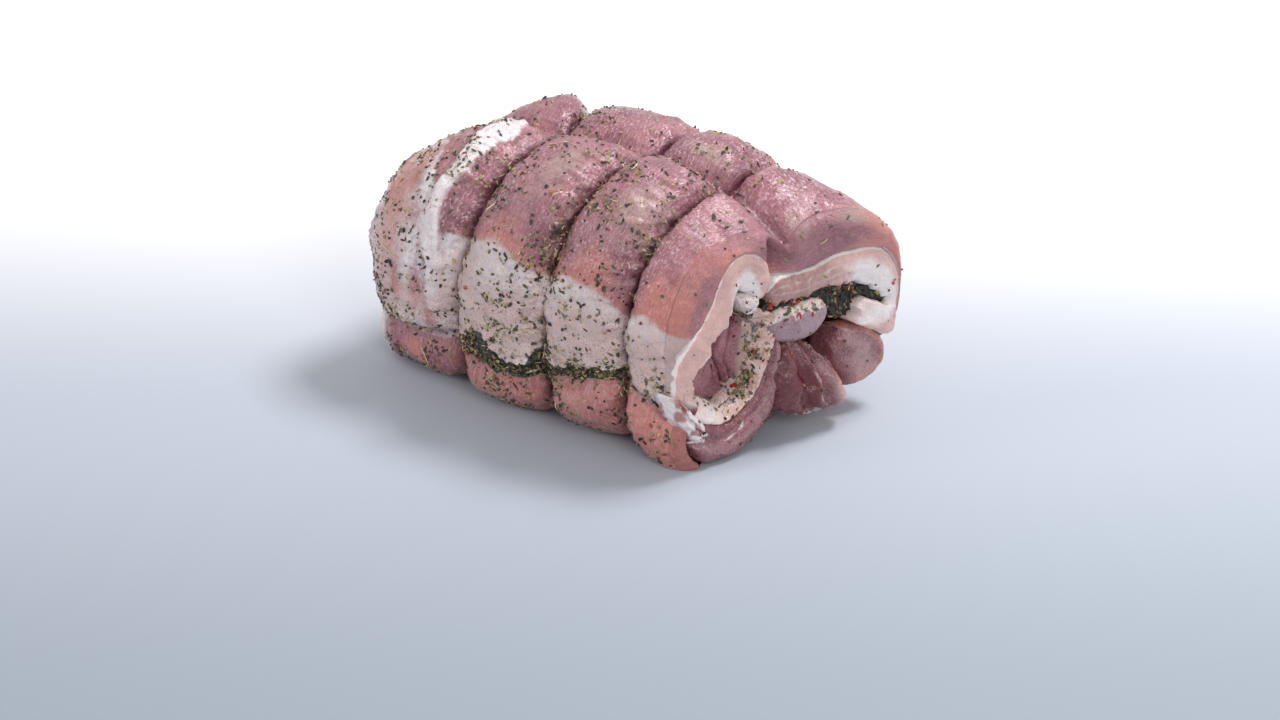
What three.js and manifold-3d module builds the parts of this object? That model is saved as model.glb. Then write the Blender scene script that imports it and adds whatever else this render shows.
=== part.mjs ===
/**
 * Rolled and tied pork roast (porchetta), raw and rubbed with dried herbs.
 *
 * Units are millimetres and +Z is up. +X runs along the roll to the cut end that shows the spiral,
 * +Y points to the back and the front, with the seam of the roll, faces -Y. The origin lies on the
 * resting surface below the middle of the roast.
 *
 * The outside is one closed surface: superellipse sections along the roll, pinched by three ties,
 * with a groove along the top and a seam low on the front. Thin curtains that follow the spiral seen
 * at the cut end part it into its layers, and each layer then gets its own relief at that end.
 */
import * as THREE from 'three';
import { mergeVertices } from 'three/addons/utils/BufferGeometryUtils.js';
import Module from 'manifold-3d';

const wasm = await Module();
wasm.setup();
const { Manifold, Mesh: ManifoldMesh } = wasm;

// ---------------------------------------------------------------- driving dimensions

/** Sections along the roll: position, reach to the front, to the back, and height of the top. */
const SECTIONS = [
  { x: -97, front: 52, back: 46, top: 92 },
  { x: -80, front: 60, back: 55, top: 105 },
  { x: -58, front: 64, back: 60, top: 112 },
  { x: -30, front: 68, back: 62, top: 115 },
  { x: 0, front: 68, back: 62, top: 118 },
  { x: 22, front: 67, back: 62, top: 117 },
  { x: 45, front: 65, back: 61, top: 112 },
  { x: 62, front: 62, back: 60, top: 105 },
  { x: 80, front: 60, back: 61, top: 97 },
];
const CUT_END = 80;
const CENTRE_HEIGHT = 52;
const SINK = 1.5; // how far the round belly is flattened on the resting surface
const SQUARENESS = { top: 2.6, bottom: 3.2 };
const CUT_SLANT = 0.24; // the cut end recedes toward the front by this much X for each Y
const FAR_SLANT = 0.1;
const FAR_DOME = [ // the hidden end closes as a dome: set back from the last section, scale
  { out: 3, scale: 0.93 }, { out: 5.5, scale: 0.78 }, { out: 7, scale: 0.5 },
];
const TRIM_ALLOWANCE = 12; // the uncut roll reaches this far past the cut end

/** Ties: position low on the roll, and how far they lean along X over the top and at the back. */
const TIES = [
  { x: -53, overTop: 13, atBack: -16 },
  { x: -4, overTop: 10, atBack: 2 },
  { x: 37.5, overTop: 9, atBack: 2 },
];
const PINCH = { depth: 9.5, floor: 1, bell: 6, pillow: 14 }; // the flesh swells beside a narrow floor
const TIE_FLATTENING = 0.65;
const PINCH_STEPS = [-11, -5.5, -2.6, -1, 1, 2.6, 5.5, 11]; // rows beside each tie
const TWINE = { radius: 0.55, clearance: 0.5, sides: 5 };

const TOP_GROOVE = { farDeg: 86, cutDeg: 93, farDepth: 9, cutDepth: 12, width: 8.5 };
const SEAM = { deg: 202, depth: 5.5, width: 4.5 };
const LIP = { rise: 5, start: 3, fade: 30 }; // the flap below the seam stands proud
const BULGES = [ // flesh that swells past the smooth sections, or falls short of them
  { x: -66, deg: 58, rise: 2, spanX: 12, spanDeg: 16 },
  { x: -80, deg: 128, rise: 4, spanX: 13, spanDeg: 22 },
  { x: -88, deg: 178, rise: 5, spanX: 12, spanDeg: 26 },
  { x: 30, deg: 50, rise: -3, spanX: 26, spanDeg: 16 },
  { x: 68, deg: 233, rise: 9, spanX: 16, spanDeg: 19 },
  { x: 76, deg: 312, rise: -15, spanX: 32, spanDeg: 24 },
];

const RING_POINTS = 50;
const GAP = 0.3;

/** Edge between the outer lean and the fat under it, at the cut end, as [y, z]. */
const LEAN_EDGE = [
  [-90, 57], [-70, 57], [-57, 60], [-49, 64], [-45, 71], [-41, 81], [-36, 87], [-28, 91], [-20, 88],
  [-14, 82], [-9, 76], [4, 74], [18, 76], [31, 76], [44, 72], [51, 66], [55, 56], [56, 46],
  [52, 37], [43, 33], [33, 36], [22, 43.5],
];
/** Herb filling: from the seam round the lower ring and over the tongue to the left hollow. */
const FILLING_PATH = [
  [-95, 20], [-68, 27], [-59, 23], [-50, 14], [-40, 10], [-30, 10], [-21, 14], [-14, 22], [-9, 33],
  [-2, 39], [8, 40], [18, 41], [26, 46], [28, 53], [23, 60], [12, 63], [-2, 62], [-9, 61], [-18, 65],
];
/** Pocket of herbs folded into the fat of the right lobe. */
const POCKET_PATH = [[26, 55], [34, 57], [42, 54], [50, 48]];
/** Herb coat on the wall of the left hollow. */
const HOLLOW_PATH = [[-9, 61], [-9, 54], [-13, 46], [-19, 36], [-26, 29], [-36, 24], [-46, 25]];
/** Inner edge of the fat ring in the left lobe, closing the hollow. */
const RING_EDGE = [[-45, 25], [-52, 31], [-52, 40], [-46, 46], [-41, 52], [-37, 59], [-31, 66], [-24, 69],
  [-17, 65]];
/** Short cut that parts the tongue from the fat below the hollow. */
const TONGUE_CUT = [[-13, 46], [-6, 36]];
const FILLING_THICKNESS = 1.8;
const POCKET_THICKNESS = 4.5;

/** On the front the lean edge climbs by this much Z for each X away from the cut end. */
const FRONT_EDGE_CLIMB = { slope: 0.165, fullAt: -57, noneAt: -41 };
const DRAWN_IN = { scale: 0.82, between: [56, 78] };
const RIBBON_STATIONS = [-125, -97, -60, 0, 56, 64, 71, CUT_END, 125];

const FLAKES = { seed: 20261, tries: 172, lift: 0.15, length: [1.9, 3.6], width: [1.1, 1.9], thick: 1.1 };
const FLAKE_FLOOR = 14; // no flake this close to the resting surface
const FLAKE_TIE_CLEARANCE = 2.6;

// ---------------------------------------------------------------- small helpers

const radians = THREE.MathUtils.degToRad;
const clamp = THREE.MathUtils.clamp;

/** Signed difference of two angles, in degrees, between -180 and 180. */
function angleBetween(a, b) {
  return THREE.MathUtils.euclideanModulo(a - b + 180, 360) - 180;
}

/** Smooth curve through a table of rows, by cubic Hermite pieces. */
function tableValue(x, field) {
  const last = SECTIONS.length - 1;
  let i = 0;
  while (i < last - 1 && x > SECTIONS[i + 1].x) i += 1;
  const slope = (k) => {
    const before = SECTIONS[Math.max(k - 1, 0)];
    const after = SECTIONS[Math.min(k + 1, last)];
    return (after[field] - before[field]) / (after.x - before.x);
  };
  const [a, b] = [SECTIONS[i], SECTIONS[i + 1]];
  const h = b.x - a.x;
  const t = clamp((x - a.x) / h, 0, 1);
  const [t2, t3] = [t * t, t * t * t];
  return (2 * t3 - 3 * t2 + 1) * a[field] + (t3 - 2 * t2 + t) * h * slope(i)
    + (3 * t2 - 2 * t3) * b[field] + (t3 - t2) * h * slope(i + 1);
}

/** Straight-line value between points of a short [position, value] list. */
function piecewise(x, points) {
  if (x <= points[0][0]) return points[0][1];
  for (let i = 1; i < points.length; i += 1) {
    const [x0, v0] = points[i - 1];
    const [x1, v1] = points[i];
    if (x <= x1) return v0 + ((v1 - v0) * (x - x0)) / (x1 - x0);
  }
  return points[points.length - 1][1];
}

/** Seeded random numbers between 0 and 1. */
function randomSource(seed) {
  let state = seed;
  return () => {
    state = (state + 0x6d2b79f5) | 0;
    let t = Math.imul(state ^ (state >>> 15), 1 | state);
    t = (t + Math.imul(t ^ (t >>> 7), 61 | t)) ^ t;
    return ((t ^ (t >>> 14)) >>> 0) / 4294967296;
  };
}

/** Solid from vertex positions and triangles. */
function solidFrom(positions, triangles) {
  return new Manifold(new ManifoldMesh({
    numProp: 3,
    vertProperties: new Float32Array(positions.flat()),
    triVerts: new Uint32Array(triangles.flat()),
  }));
}

/**
 * Closed solid through rings of points, each run the same way round. A round ring is shut by a fan at
 * each end, and the ring of a thin ribbon by a strip across it.
 */
function loftedSolid(rings, shape = 'round') {
  const n = rings[0].length;
  const positions = rings.flat();
  const triangles = [];
  for (let r = 0; r + 1 < rings.length; r += 1) {
    for (let i = 0; i < n; i += 1) {
      const [a, b] = [r * n + i, r * n + ((i + 1) % n)];
      const [c, d] = [a + n, b + n];
      const returning = shape === 'ribbon' && i >= n / 2; // keeps both faces of a ribbon parallel
      if (returning) triangles.push([a, b, c], [b, d, c]);
      else triangles.push([a, b, d], [a, d, c]);
    }
  }
  const addTriangle = (a, b, c, reversed) => triangles.push(reversed ? [c, b, a] : [a, b, c]);
  const addFan = (start, reversed) => {
    const middle = new THREE.Vector3();
    for (let i = 0; i < n; i += 1) middle.add(new THREE.Vector3(...positions[start + i]));
    positions.push(middle.divideScalar(n).toArray());
    const centre = positions.length - 1;
    for (let i = 0; i < n; i += 1) addTriangle(centre, start + i, start + ((i + 1) % n), reversed);
  };
  const addStrip = (start, reversed) => {
    for (let i = 0; i + 1 < n / 2; i += 1) {
      const [a, b] = [start + i, start + i + 1];
      const [c, d] = [start + n - 2 - i, start + n - 1 - i];
      addTriangle(a, b, c, reversed);
      addTriangle(a, c, d, reversed);
    }
  };
  const addCap = shape === 'round' ? addFan : addStrip;
  addCap(0, true);
  addCap((rings.length - 1) * n, false);
  return solidFrom(positions, triangles);
}

// ---------------------------------------------------------------- outside of the roll

/** Lean of the rows along X over the top and at the back, so that rows lie along the ties. */
function rowLean(row, deg) {
  const stops = (key) => [[-97, 0], ...TIES.map((tie) => [tie.x, tie[key]]), [CUT_END, 0]];
  const overTop = Math.max(0, Math.sin(radians(deg)));
  const atBack = Math.exp(-((angleBetween(deg, 35) / 40) ** 2));
  return piecewise(row, stops('overTop')) * overTop + piecewise(row, stops('atBack')) * atBack;
}

/** Radius of the smooth rounded-box section, before any groove. */
function smoothRadius(row, deg) {
  const [c, s] = [Math.cos(radians(deg)), Math.sin(radians(deg))];
  const reach = tableValue(row, c < 0 ? 'front' : 'back');
  const height = s > 0 ? tableValue(row, 'top') - CENTRE_HEIGHT : CENTRE_HEIGHT + SINK;
  const p = s > 0 ? SQUARENESS.top : SQUARENESS.bottom;
  return ((Math.abs(c) / reach) ** p + (Math.abs(s) / height) ** p) ** (-1 / p);
}

/** Depth of the pinch of the nearest tie: half a bell and half a quarter circle, from a narrow floor. */
function pinchDepth(row) {
  const depths = TIES.map((tie) => {
    const away = Math.max(Math.abs(row - tie.x) - PINCH.floor, 0);
    const bell = 1 / (1 + (away / PINCH.bell) ** 2) ** 1.5;
    const t = Math.min(away / PINCH.pillow, 1);
    return (PINCH.depth * (bell + 1 - Math.sqrt(t * (2 - t)))) / 2;
  });
  return Math.max(...depths);
}

/** Depth of the groove that runs along the top between the two lobes. */
function topGrooveDepth(row, deg, radius) {
  const t = clamp((row - SECTIONS[0].x) / (CUT_END - SECTIONS[0].x), 0, 1);
  const centre = THREE.MathUtils.lerp(TOP_GROOVE.farDeg, TOP_GROOVE.cutDeg, t);
  const depth = THREE.MathUtils.lerp(TOP_GROOVE.farDepth, TOP_GROOVE.cutDepth, t);
  const arc = radians(angleBetween(deg, centre)) * radius;
  return depth / (1 + (arc / TOP_GROOVE.width) ** 2) ** 1.2;
}

/** Crease of the seam, less the rise of the flap below it. */
function seamDepth(deg, radius) {
  const arc = radians(angleBetween(deg, SEAM.deg)) * radius;
  const crease = SEAM.depth * Math.exp(-((arc / SEAM.width) ** 2));
  if (arc <= LIP.start) return crease;
  const grow = 1 - Math.exp(-(((arc - LIP.start) / 6) ** 2));
  const fade = Math.exp(-((Math.max(arc - 14, 0) / LIP.fade) ** 2));
  return crease - LIP.rise * grow * fade;
}

/** Swell of the flesh at the listed bulges. */
function bulgeHeight(row, deg) {
  let height = 0;
  for (const bulge of BULGES) {
    const u = (row - bulge.x) / bulge.spanX;
    const v = angleBetween(deg, bulge.deg) / bulge.spanDeg;
    height += bulge.rise * Math.exp(-u * u - v * v);
  }
  return height;
}

/** Radius of the roll at a row and an angle. A tie presses the other grooves and bulges flatter. */
function rollRadius(row, deg) {
  const smooth = smoothRadius(Math.min(row, CUT_END), deg);
  const pinch = pinchDepth(row);
  const free = 1 - TIE_FLATTENING * (pinch / PINCH.depth);
  const relief = bulgeHeight(row, deg) - topGrooveDepth(row, deg, smooth) - seamDepth(deg, smooth);
  return smooth - pinch + free * relief;
}

/** Point of the roll at a row (its X low on the roll) and an angle from +Y over the top. */
function rollPoint(row, deg, { scale = 1, lift = 0 } = {}) {
  const radius = rollRadius(row, deg) * scale + lift;
  const y = radius * Math.cos(radians(deg));
  const z = Math.max(CENTRE_HEIGHT + radius * Math.sin(radians(deg)), 0);
  const cutSlant = CUT_SLANT * clamp((row - TIES[2].x) / (CUT_END - TIES[2].x), 0, 1);
  const farSlant = FAR_SLANT * clamp((TIES[0].x - row) / (TIES[0].x - SECTIONS[0].x), 0, 1);
  return [row + rowLean(row, deg) + (cutSlant + farSlant) * y, y, z];
}

/** Rows of the surface: close together beside the ties and apart between them. */
function surfaceRows() {
  const rows = new Set([SECTIONS[0].x, -89, -81, -73, -35, -24, 11, 20, 57, 65, 73, CUT_END]);
  for (const tie of TIES) {
    for (const step of PINCH_STEPS) rows.add(tie.x + step);
  }
  return [...rows].sort((a, b) => a - b);
}

function makeRoll() {
  const ringAt = (row, options, shift = 0) => {
    const ring = [];
    for (let i = 0; i < RING_POINTS; i += 1) {
      const [x, y, z] = rollPoint(row, (i * 360) / RING_POINTS, options);
      ring.push([x + shift, y, z]);
    }
    return ring;
  };
  const first = SECTIONS[0].x;
  const dome = FAR_DOME.map(({ out, scale }) => ringAt(first, { scale }, -out)).reverse();
  const rings = [...dome, ...surfaceRows().map((row) => ringAt(row))];
  rings.push(ringAt(CUT_END, {}, TRIM_ALLOWANCE));
  return loftedSolid(rings);
}

// ---------------------------------------------------------------- layers of the spiral

/**
 * Section point of the cut end carried to another X. The layers spread with the wider and taller roll,
 * but draw in from its skin behind the cut, so that no tie pinches through one.
 */
function carried([y, z], x) {
  const at = clamp(x, SECTIONS[0].x, CUT_END);
  const side = y < 0 ? 'front' : 'back';
  const drawn = THREE.MathUtils.lerp(DRAWN_IN.scale, 1, THREE.MathUtils.smoothstep(x, ...DRAWN_IN.between));
  const wider = drawn * (tableValue(at, side) / tableValue(CUT_END, side));
  const rise = tableValue(at, 'top') - CENTRE_HEIGHT;
  const taller = drawn * (z > CENTRE_HEIGHT ? rise / (tableValue(CUT_END, 'top') - CENTRE_HEIGHT) : 1);
  return [y * wider, CENTRE_HEIGHT + (z - CENTRE_HEIGHT) * taller];
}

/** Lean edge carried to another X, with the climb of its front end. */
function carriedLeanEdge(point, x) {
  const [y, z] = carried(point, x);
  const { slope, fullAt, noneAt } = FRONT_EDGE_CLIMB;
  const share = clamp((noneAt - point[0]) / (noneAt - fullAt), 0, 1);
  return [y, z + share * slope * (CUT_END - clamp(x, SECTIONS[0].x, CUT_END))];
}

/** Line moved sideways, to the left of its run for a positive distance. */
function offsetLine(line, distance) {
  const normals = line.slice(1).map(([y, z], i) => {
    const run = new THREE.Vector2(y - line[i][0], z - line[i][1]).normalize();
    return new THREE.Vector2(-run.y, run.x);
  });
  return line.map(([y, z], i) => {
    const before = normals[Math.max(i - 1, 0)];
    const after = normals[Math.min(i, normals.length - 1)];
    const mean = before.clone().add(after).normalize();
    const reach = distance / Math.max(mean.dot(after), 0.5);
    return [y + mean.x * reach, z + mean.y * reach];
  });
}

/** Thin solid that follows a path of the section along the whole roll. */
function ribbon(path, thickness, carry = carried) {
  return loftedSolid(RIBBON_STATIONS.map((x) => {
    const line = path.map((point) => carry(point, x));
    const right = offsetLine(line, -thickness / 2);
    const left = offsetLine(line, thickness / 2).reverse();
    return [...right, ...left].map(([y, z]) => [x, y, z]);
  }), 'ribbon');
}

/** Herb filling of the whole spiral, thicker by the given amount all round. */
function fillingSolid(extra = 0) {
  return Manifold.union([
    ribbon(FILLING_PATH, FILLING_THICKNESS + extra),
    ribbon(HOLLOW_PATH, FILLING_THICKNESS + extra),
    ribbon(POCKET_PATH, POCKET_THICKNESS + extra),
  ]);
}

/** Bell-shaped swell round a point of the section. */
function swell(y, z, at, spread) {
  return Math.exp(-(((y - at[0]) / spread[0]) ** 2) - ((z - at[1]) / spread[1]) ** 2);
}

/** How near a section point is to the outside of the cut end: 0 well inside, 1 on the skin. */
function edgeNearness(y, z, width) {
  const deg = THREE.MathUtils.radToDeg(Math.atan2(z - CENTRE_HEIGHT, y));
  const inside = rollRadius(CUT_END, deg) - Math.hypot(y, z - CENTRE_HEIGHT);
  return THREE.MathUtils.smoothstep(width - inside, 0, width);
}

/** Relief of each layer at the cut end, in mm past the plane of the cut. */
const RELIEF = {
  outerLean(y, z) {
    const valley = 11 * Math.exp(-(((y + 8) / 4) ** 2)) * THREE.MathUtils.smoothstep(z, 70, 82);
    const farBelow = 9 * THREE.MathUtils.smoothstep(y, 26, 44) * (1 - THREE.MathUtils.smoothstep(z, 16, 34));
    const underRing = 5 * THREE.MathUtils.smoothstep(y, -44, -34) * (1 - THREE.MathUtils.smoothstep(y, -16, -4))
      * (1 - THREE.MathUtils.smoothstep(z, 16, 30));
    return 1.5 + 8 * swell(y, z, [12, 24], [15, 14]) - 7 * swell(y, z, [20, 40], [6, 5])
      - valley - farBelow - underRing - 8 * edgeNearness(y, z, 9);
  },
  fat(y, z) {
    const crease = 6 * Math.exp(-(((y + 10) / 2.5) ** 2)) * THREE.MathUtils.smoothstep(z, 60, 68);
    return 1.2 + 1.5 * swell(y, z, [-26, 80], [12, 12]) - crease - 3 * edgeNearness(y, z, 6);
  },
  filling: () => 0,
  hollowLean: (y, z) => -13 + 3.5 * swell(y, z, [-24, 46], [5, 16]) - 2 * swell(y, z, [-32, 40], [4, 14]),
  tongue: (y, z) => -1 + 2.5 * swell(y, z, [6, 51], [12, 7]),
};

/** Everything behind a relief of the cut end. */
function behindRelief(relief, step) {
  const reach = 92;
  const floor = -6;
  const cols = Math.round((2 * reach) / step);
  const rows = Math.round((126 - floor) / step);
  const positions = [];
  const triangles = [];
  for (const front of [true, false]) {
    for (let j = 0; j <= rows; j += 1) {
      for (let i = 0; i <= cols; i += 1) {
        const [y, z] = [-reach + i * step, floor + j * step];
        positions.push([front ? CUT_END + CUT_SLANT * y + relief(y, z) : -130, y, z]);
      }
    }
  }
  const width = cols + 1;
  const back = width * (rows + 1);
  for (let j = 0; j < rows; j += 1) {
    for (let i = 0; i < cols; i += 1) {
      const [a, b] = [j * width + i, j * width + i + 1];
      const [c, d] = [a + width, b + width];
      triangles.push([a, b, d], [a, d, c], [back + a, back + d, back + b], [back + a, back + c, back + d]);
    }
  }
  const wall = (a, b) => triangles.push([a, back + b, b], [a, back + a, back + b]);
  for (let i = 0; i < cols; i += 1) {
    wall(i, i + 1);
    wall(rows * width + i + 1, rows * width + i);
  }
  for (let j = 0; j < rows; j += 1) {
    wall((j + 1) * width, j * width);
    wall(j * width + cols, (j + 1) * width + cols);
  }
  return solidFrom(positions, triangles);
}

/** Small block round a point, to find which piece the point is in. */
function probeAt(point, size = 0.4) {
  const block = new THREE.BoxGeometry(size, size, size).translate(...point);
  return solidOfGeometry(block);
}

/** Solid from a closed three.js geometry, its shared corners merged. */
function solidOfGeometry(geometry) {
  const bare = geometry.clone();
  bare.deleteAttribute('normal');
  bare.deleteAttribute('uv');
  const merged = mergeVertices(bare, 1e-4);
  const at = merged.getAttribute('position');
  const positions = Array.from({ length: at.count }, (_, i) => [at.getX(i), at.getY(i), at.getZ(i)]);
  const index = Array.from(merged.getIndex().array);
  const triangles = Array.from({ length: index.length / 3 }, (_, i) => index.slice(3 * i, 3 * i + 3));
  return solidFrom(positions, triangles);
}

/** The layers of the roll, each with its relief at the cut end. */
function makeLayers() {
  const roll = makeRoll();
  const cuts = Manifold.union([
    fillingSolid(2 * GAP),
    ribbon(LEAN_EDGE, GAP, carriedLeanEdge),
    ribbon(RING_EDGE, GAP),
    ribbon(TONGUE_CUT, GAP),
  ]);
  const pieces = roll.subtract(cuts).decompose();
  const pieceAt = (section) => {
    const probe = probeAt([CUT_END / 2, ...carried(section, CUT_END / 2)]);
    return pieces.find((piece) => piece.intersect(probe).volume() > 0);
  };
  const around = {
    outer_lean: pieceAt([0, 86]).intersect(behindRelief(RELIEF.outerLean, 4.4)),
    fat_layer: pieceAt([-50, 48]).intersect(behindRelief(RELIEF.fat, 6.6)),
    inner_lean_left: pieceAt([-30, 48]).intersect(behindRelief(RELIEF.hollowLean, 4)),
    inner_lean_right: pieceAt([4, 52]).intersect(behindRelief(RELIEF.tongue, 4)),
  };
  const filling = fillingSolid().intersect(roll).intersect(behindRelief(RELIEF.filling, 46));
  const clear = Object.values(around).reduce((solid, layer) => solid.subtract(layer), filling);
  const largest = clear.decompose().sort((a, b) => b.volume() - a.volume())[0];
  return { ...around, herb_filling: largest };
}

// ---------------------------------------------------------------- herb flakes

/** Flat six-sided flake with a low ridge, twelve triangles. */
function flakeSolid(length, width, thick, place) {
  const corners = [];
  for (let i = 0; i < 6; i += 1) {
    const turn = radians(60 * i);
    corners.push([Math.cos(turn) * length / 2, Math.sin(turn) * width / 2, 0]);
  }
  corners.push([0, 0, thick / 2], [0, 0, -thick / 2]);
  const positions = corners.map((corner) => new THREE.Vector3(...corner).applyMatrix4(place).toArray());
  const triangles = [];
  for (let i = 0; i < 6; i += 1) {
    const next = (i + 1) % 6;
    triangles.push([6, i, next], [7, next, i]);
  }
  return solidFrom(positions, triangles);
}

/** How thickly herbs lie at a place of the roll, 0 to 1: most in the seam and beside the ties. */
function herbDensity(row, deg) {
  const seam = Math.exp(-((angleBetween(deg, SEAM.deg - 4) / 11) ** 2));
  const ties = pinchDepth(row) / PINCH.depth;
  const groove = Math.exp(-((angleBetween(deg, 90) / 9) ** 2));
  const farEnd = THREE.MathUtils.smoothstep(-row, 50, 80);
  const back = THREE.MathUtils.smoothstep(Math.cos(radians(deg)), 0.3, 0.8);
  return clamp(0.3 + 0.6 * seam + 0.35 * ties + 0.3 * groove + 0.25 * farEnd - 0.1 * back, 0, 1);
}

/** Fuses seeded herb flakes to the two layers that show outside, clear of every other piece. */
function withFlakes(layers) {
  const random = randomSource(FLAKES.seed);
  const between = ([low, high]) => low + (high - low) * random();
  const hosts = ['outer_lean', 'fat_layer'];
  const flakes = { outer_lean: [], fat_layer: [] };
  for (let k = 0; k < FLAKES.tries; k += 1) {
    const row = THREE.MathUtils.lerp(SECTIONS[0].x + 4, CUT_END - 4, random());
    const deg = THREE.MathUtils.lerp(-30, 218, random());
    const [keep, yaw, tip] = [random(), random() * Math.PI, (random() - 0.5) * 0.5];
    const [length, width] = [between(FLAKES.length), between(FLAKES.width)];
    const point = new THREE.Vector3(...rollPoint(row, deg));
    const clearOfTies = TIES.every((tie) => Math.abs(row - tie.x) > FLAKE_TIE_CLEARANCE);
    if (keep > herbDensity(row, deg) || point.z < FLAKE_FLOOR || !clearOfTies) continue;
    const along = new THREE.Vector3(...rollPoint(row + 1, deg)).sub(point).normalize();
    const round = new THREE.Vector3(...rollPoint(row, deg + 1)).sub(point).normalize();
    const out = round.clone().cross(along).negate().normalize();
    const place = new THREE.Matrix4().makeBasis(along, out.clone().cross(along), out);
    place.multiply(new THREE.Matrix4().makeRotationZ(yaw)).multiply(new THREE.Matrix4().makeRotationX(tip));
    place.setPosition(point.addScaledVector(out, FLAKES.lift));
    const flake = flakeSolid(length, width, FLAKES.thick, place);
    const room = flakeSolid(length + 2 * GAP, width + 2 * GAP, FLAKES.thick + 2 * GAP, place);
    const host = hosts.find((name) => layers[name].intersect(flake).volume() > 0);
    const others = Object.keys(layers).filter((name) => name !== host);
    if (!host || others.some((name) => layers[name].intersect(room).volume() > 0)) continue;
    flakes[host].push(flake);
  }
  const fused = { ...layers };
  for (const name of hosts) fused[name] = Manifold.union([layers[name], ...flakes[name]]);
  return fused;
}

// ---------------------------------------------------------------- ties

/** Convex outline round section points, as a tight string would lie. */
function tightOutline(points) {
  const sorted = [...points].sort((a, b) => a[0] - b[0] || a[1] - b[1]);
  const turn = (o, a, b) => (a[0] - o[0]) * (b[1] - o[1]) - (a[1] - o[1]) * (b[0] - o[0]);
  const half = (list) => {
    const chain = [];
    for (const point of list) {
      while (chain.length > 1 && turn(chain[chain.length - 2], chain[chain.length - 1], point) <= 0) chain.pop();
      chain.push(point);
    }
    return chain.slice(0, -1);
  };
  return [...half(sorted), ...half(sorted.reverse())];
}

/** Distance from the section's centre to a convex outline round it, along an angle. */
function outlineRadius(outline, deg) {
  const [cy, cz] = [Math.cos(radians(deg)), Math.sin(radians(deg))];
  for (let i = 0; i < outline.length; i += 1) {
    const [y0, z0] = outline[i];
    const [y1, z1] = outline[(i + 1) % outline.length];
    const [ey, ez] = [y1 - y0, z1 - z0];
    const across = cy * ez - cz * ey;
    const distance = (y0 * ez - z0 * ey) / across;
    const share = (y0 * cz - z0 * cy) / across;
    if (across > 1e-9 && distance > 0 && share >= -1e-6 && share <= 1 + 1e-6) return distance;
  }
  throw new Error('no outline along this angle');
}

/** Closed loop of twine in the groove of a tie. */
function makeTie(tie) {
  const lift = TWINE.radius + TWINE.clearance;
  const groove = [];
  for (let deg = 0; deg < 360; deg += 3) {
    const radius = rollRadius(tie.x, deg) + lift;
    groove.push([radius * Math.cos(radians(deg)), radius * Math.sin(radians(deg))]);
  }
  const outline = tightOutline(groove);
  const pathPoints = [];
  for (let i = 0; i < RING_POINTS; i += 1) {
    const deg = (i * 360) / RING_POINTS;
    const radius = outlineRadius(outline, deg);
    const [y, z] = [radius * Math.cos(radians(deg)), CENTRE_HEIGHT + radius * Math.sin(radians(deg))];
    pathPoints.push(new THREE.Vector3(tie.x + rowLean(tie.x, deg), y, z));
  }
  const positions = [];
  const triangles = [];
  const [n, m] = [RING_POINTS, TWINE.sides];
  pathPoints.forEach((point, i) => {
    const run = pathPoints[(i + 1) % n].clone().sub(pathPoints[(i + n - 1) % n]).normalize();
    const out = new THREE.Vector3(0, point.y, point.z - CENTRE_HEIGHT);
    out.addScaledVector(run, -out.dot(run)).normalize();
    const side = run.clone().cross(out);
    for (let j = 0; j < m; j += 1) {
      const turn = (2 * Math.PI * j) / m;
      const offset = out.clone().multiplyScalar(Math.cos(turn)).addScaledVector(side, Math.sin(turn));
      positions.push(point.clone().addScaledVector(offset, TWINE.radius).toArray());
    }
  });
  for (let i = 0; i < n; i += 1) {
    for (let j = 0; j < m; j += 1) {
      const [a, b] = [i * m + j, i * m + ((j + 1) % m)];
      const [c, d] = [((i + 1) % n) * m + j, ((i + 1) % n) * m + ((j + 1) % m)];
      triangles.push([a, d, c], [a, b, d]);
    }
  }
  return solidFrom(positions, triangles);
}

// ---------------------------------------------------------------- scene graph

const MATERIALS = {
  outer_lean: new THREE.MeshStandardMaterial({ color: '#c4878c', roughness: 0.42, metalness: 0 }),
  fat_layer: new THREE.MeshStandardMaterial({ color: '#e4d8d3', roughness: 0.38, metalness: 0 }),
  herb_filling: new THREE.MeshStandardMaterial({ color: '#55523a', roughness: 0.8, metalness: 0 }),
  inner_lean_left: new THREE.MeshStandardMaterial({ color: '#9c6571', roughness: 0.3, metalness: 0 }),
  inner_lean_right: new THREE.MeshStandardMaterial({ color: '#b99ba2', roughness: 0.35, metalness: 0 }),
  tie: new THREE.MeshStandardMaterial({ color: '#c9474f', roughness: 0.75, metalness: 0 }),
};

/** Named mesh of a solid. */
function namedMesh(name, solid, material) {
  const { vertProperties, triVerts } = solid.getMesh();
  const geometry = new THREE.BufferGeometry();
  geometry.setAttribute('position', new THREE.BufferAttribute(new Float32Array(vertProperties), 3));
  geometry.setIndex(Array.from(triVerts));
  geometry.computeVertexNormals();
  const mesh = new THREE.Mesh(geometry, material);
  mesh.name = name;
  return mesh;
}

const group = new THREE.Group();
for (const [name, solid] of Object.entries(withFlakes(makeLayers()))) {
  group.add(namedMesh(name, solid, MATERIALS[name]));
}
TIES.forEach((tie, i) => group.add(namedMesh(`tie_${i + 1}`, makeTie(tie), MATERIALS.tie)));

// The origin goes to the middle of the roast's box, on the resting surface.
const middle = new THREE.Box3().setFromObject(group).getCenter(new THREE.Vector3());
group.position.set(-middle.x, -middle.y, 0);

export default group;
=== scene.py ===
"""Raw porchetta: a rolled, herb-rubbed and tied pork roast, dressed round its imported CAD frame.

The roll lies along X with its cut end at +X, its back at +Y and its seam low on the side at -Y.
Forms are worked out in millimetres in the roll's own frame, where X = 0 is the middle of its length, and
`to_frame` carries them to the frame's metres. A row is a place along the roll (mm), and an angle runs round
it: 0 degrees is the back (+Y), 90 the top, 180 the front (-Y) and 270 the belly.
"""

import logging
from dataclasses import dataclass, field
from enum import Enum
from functools import reduce

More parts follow.
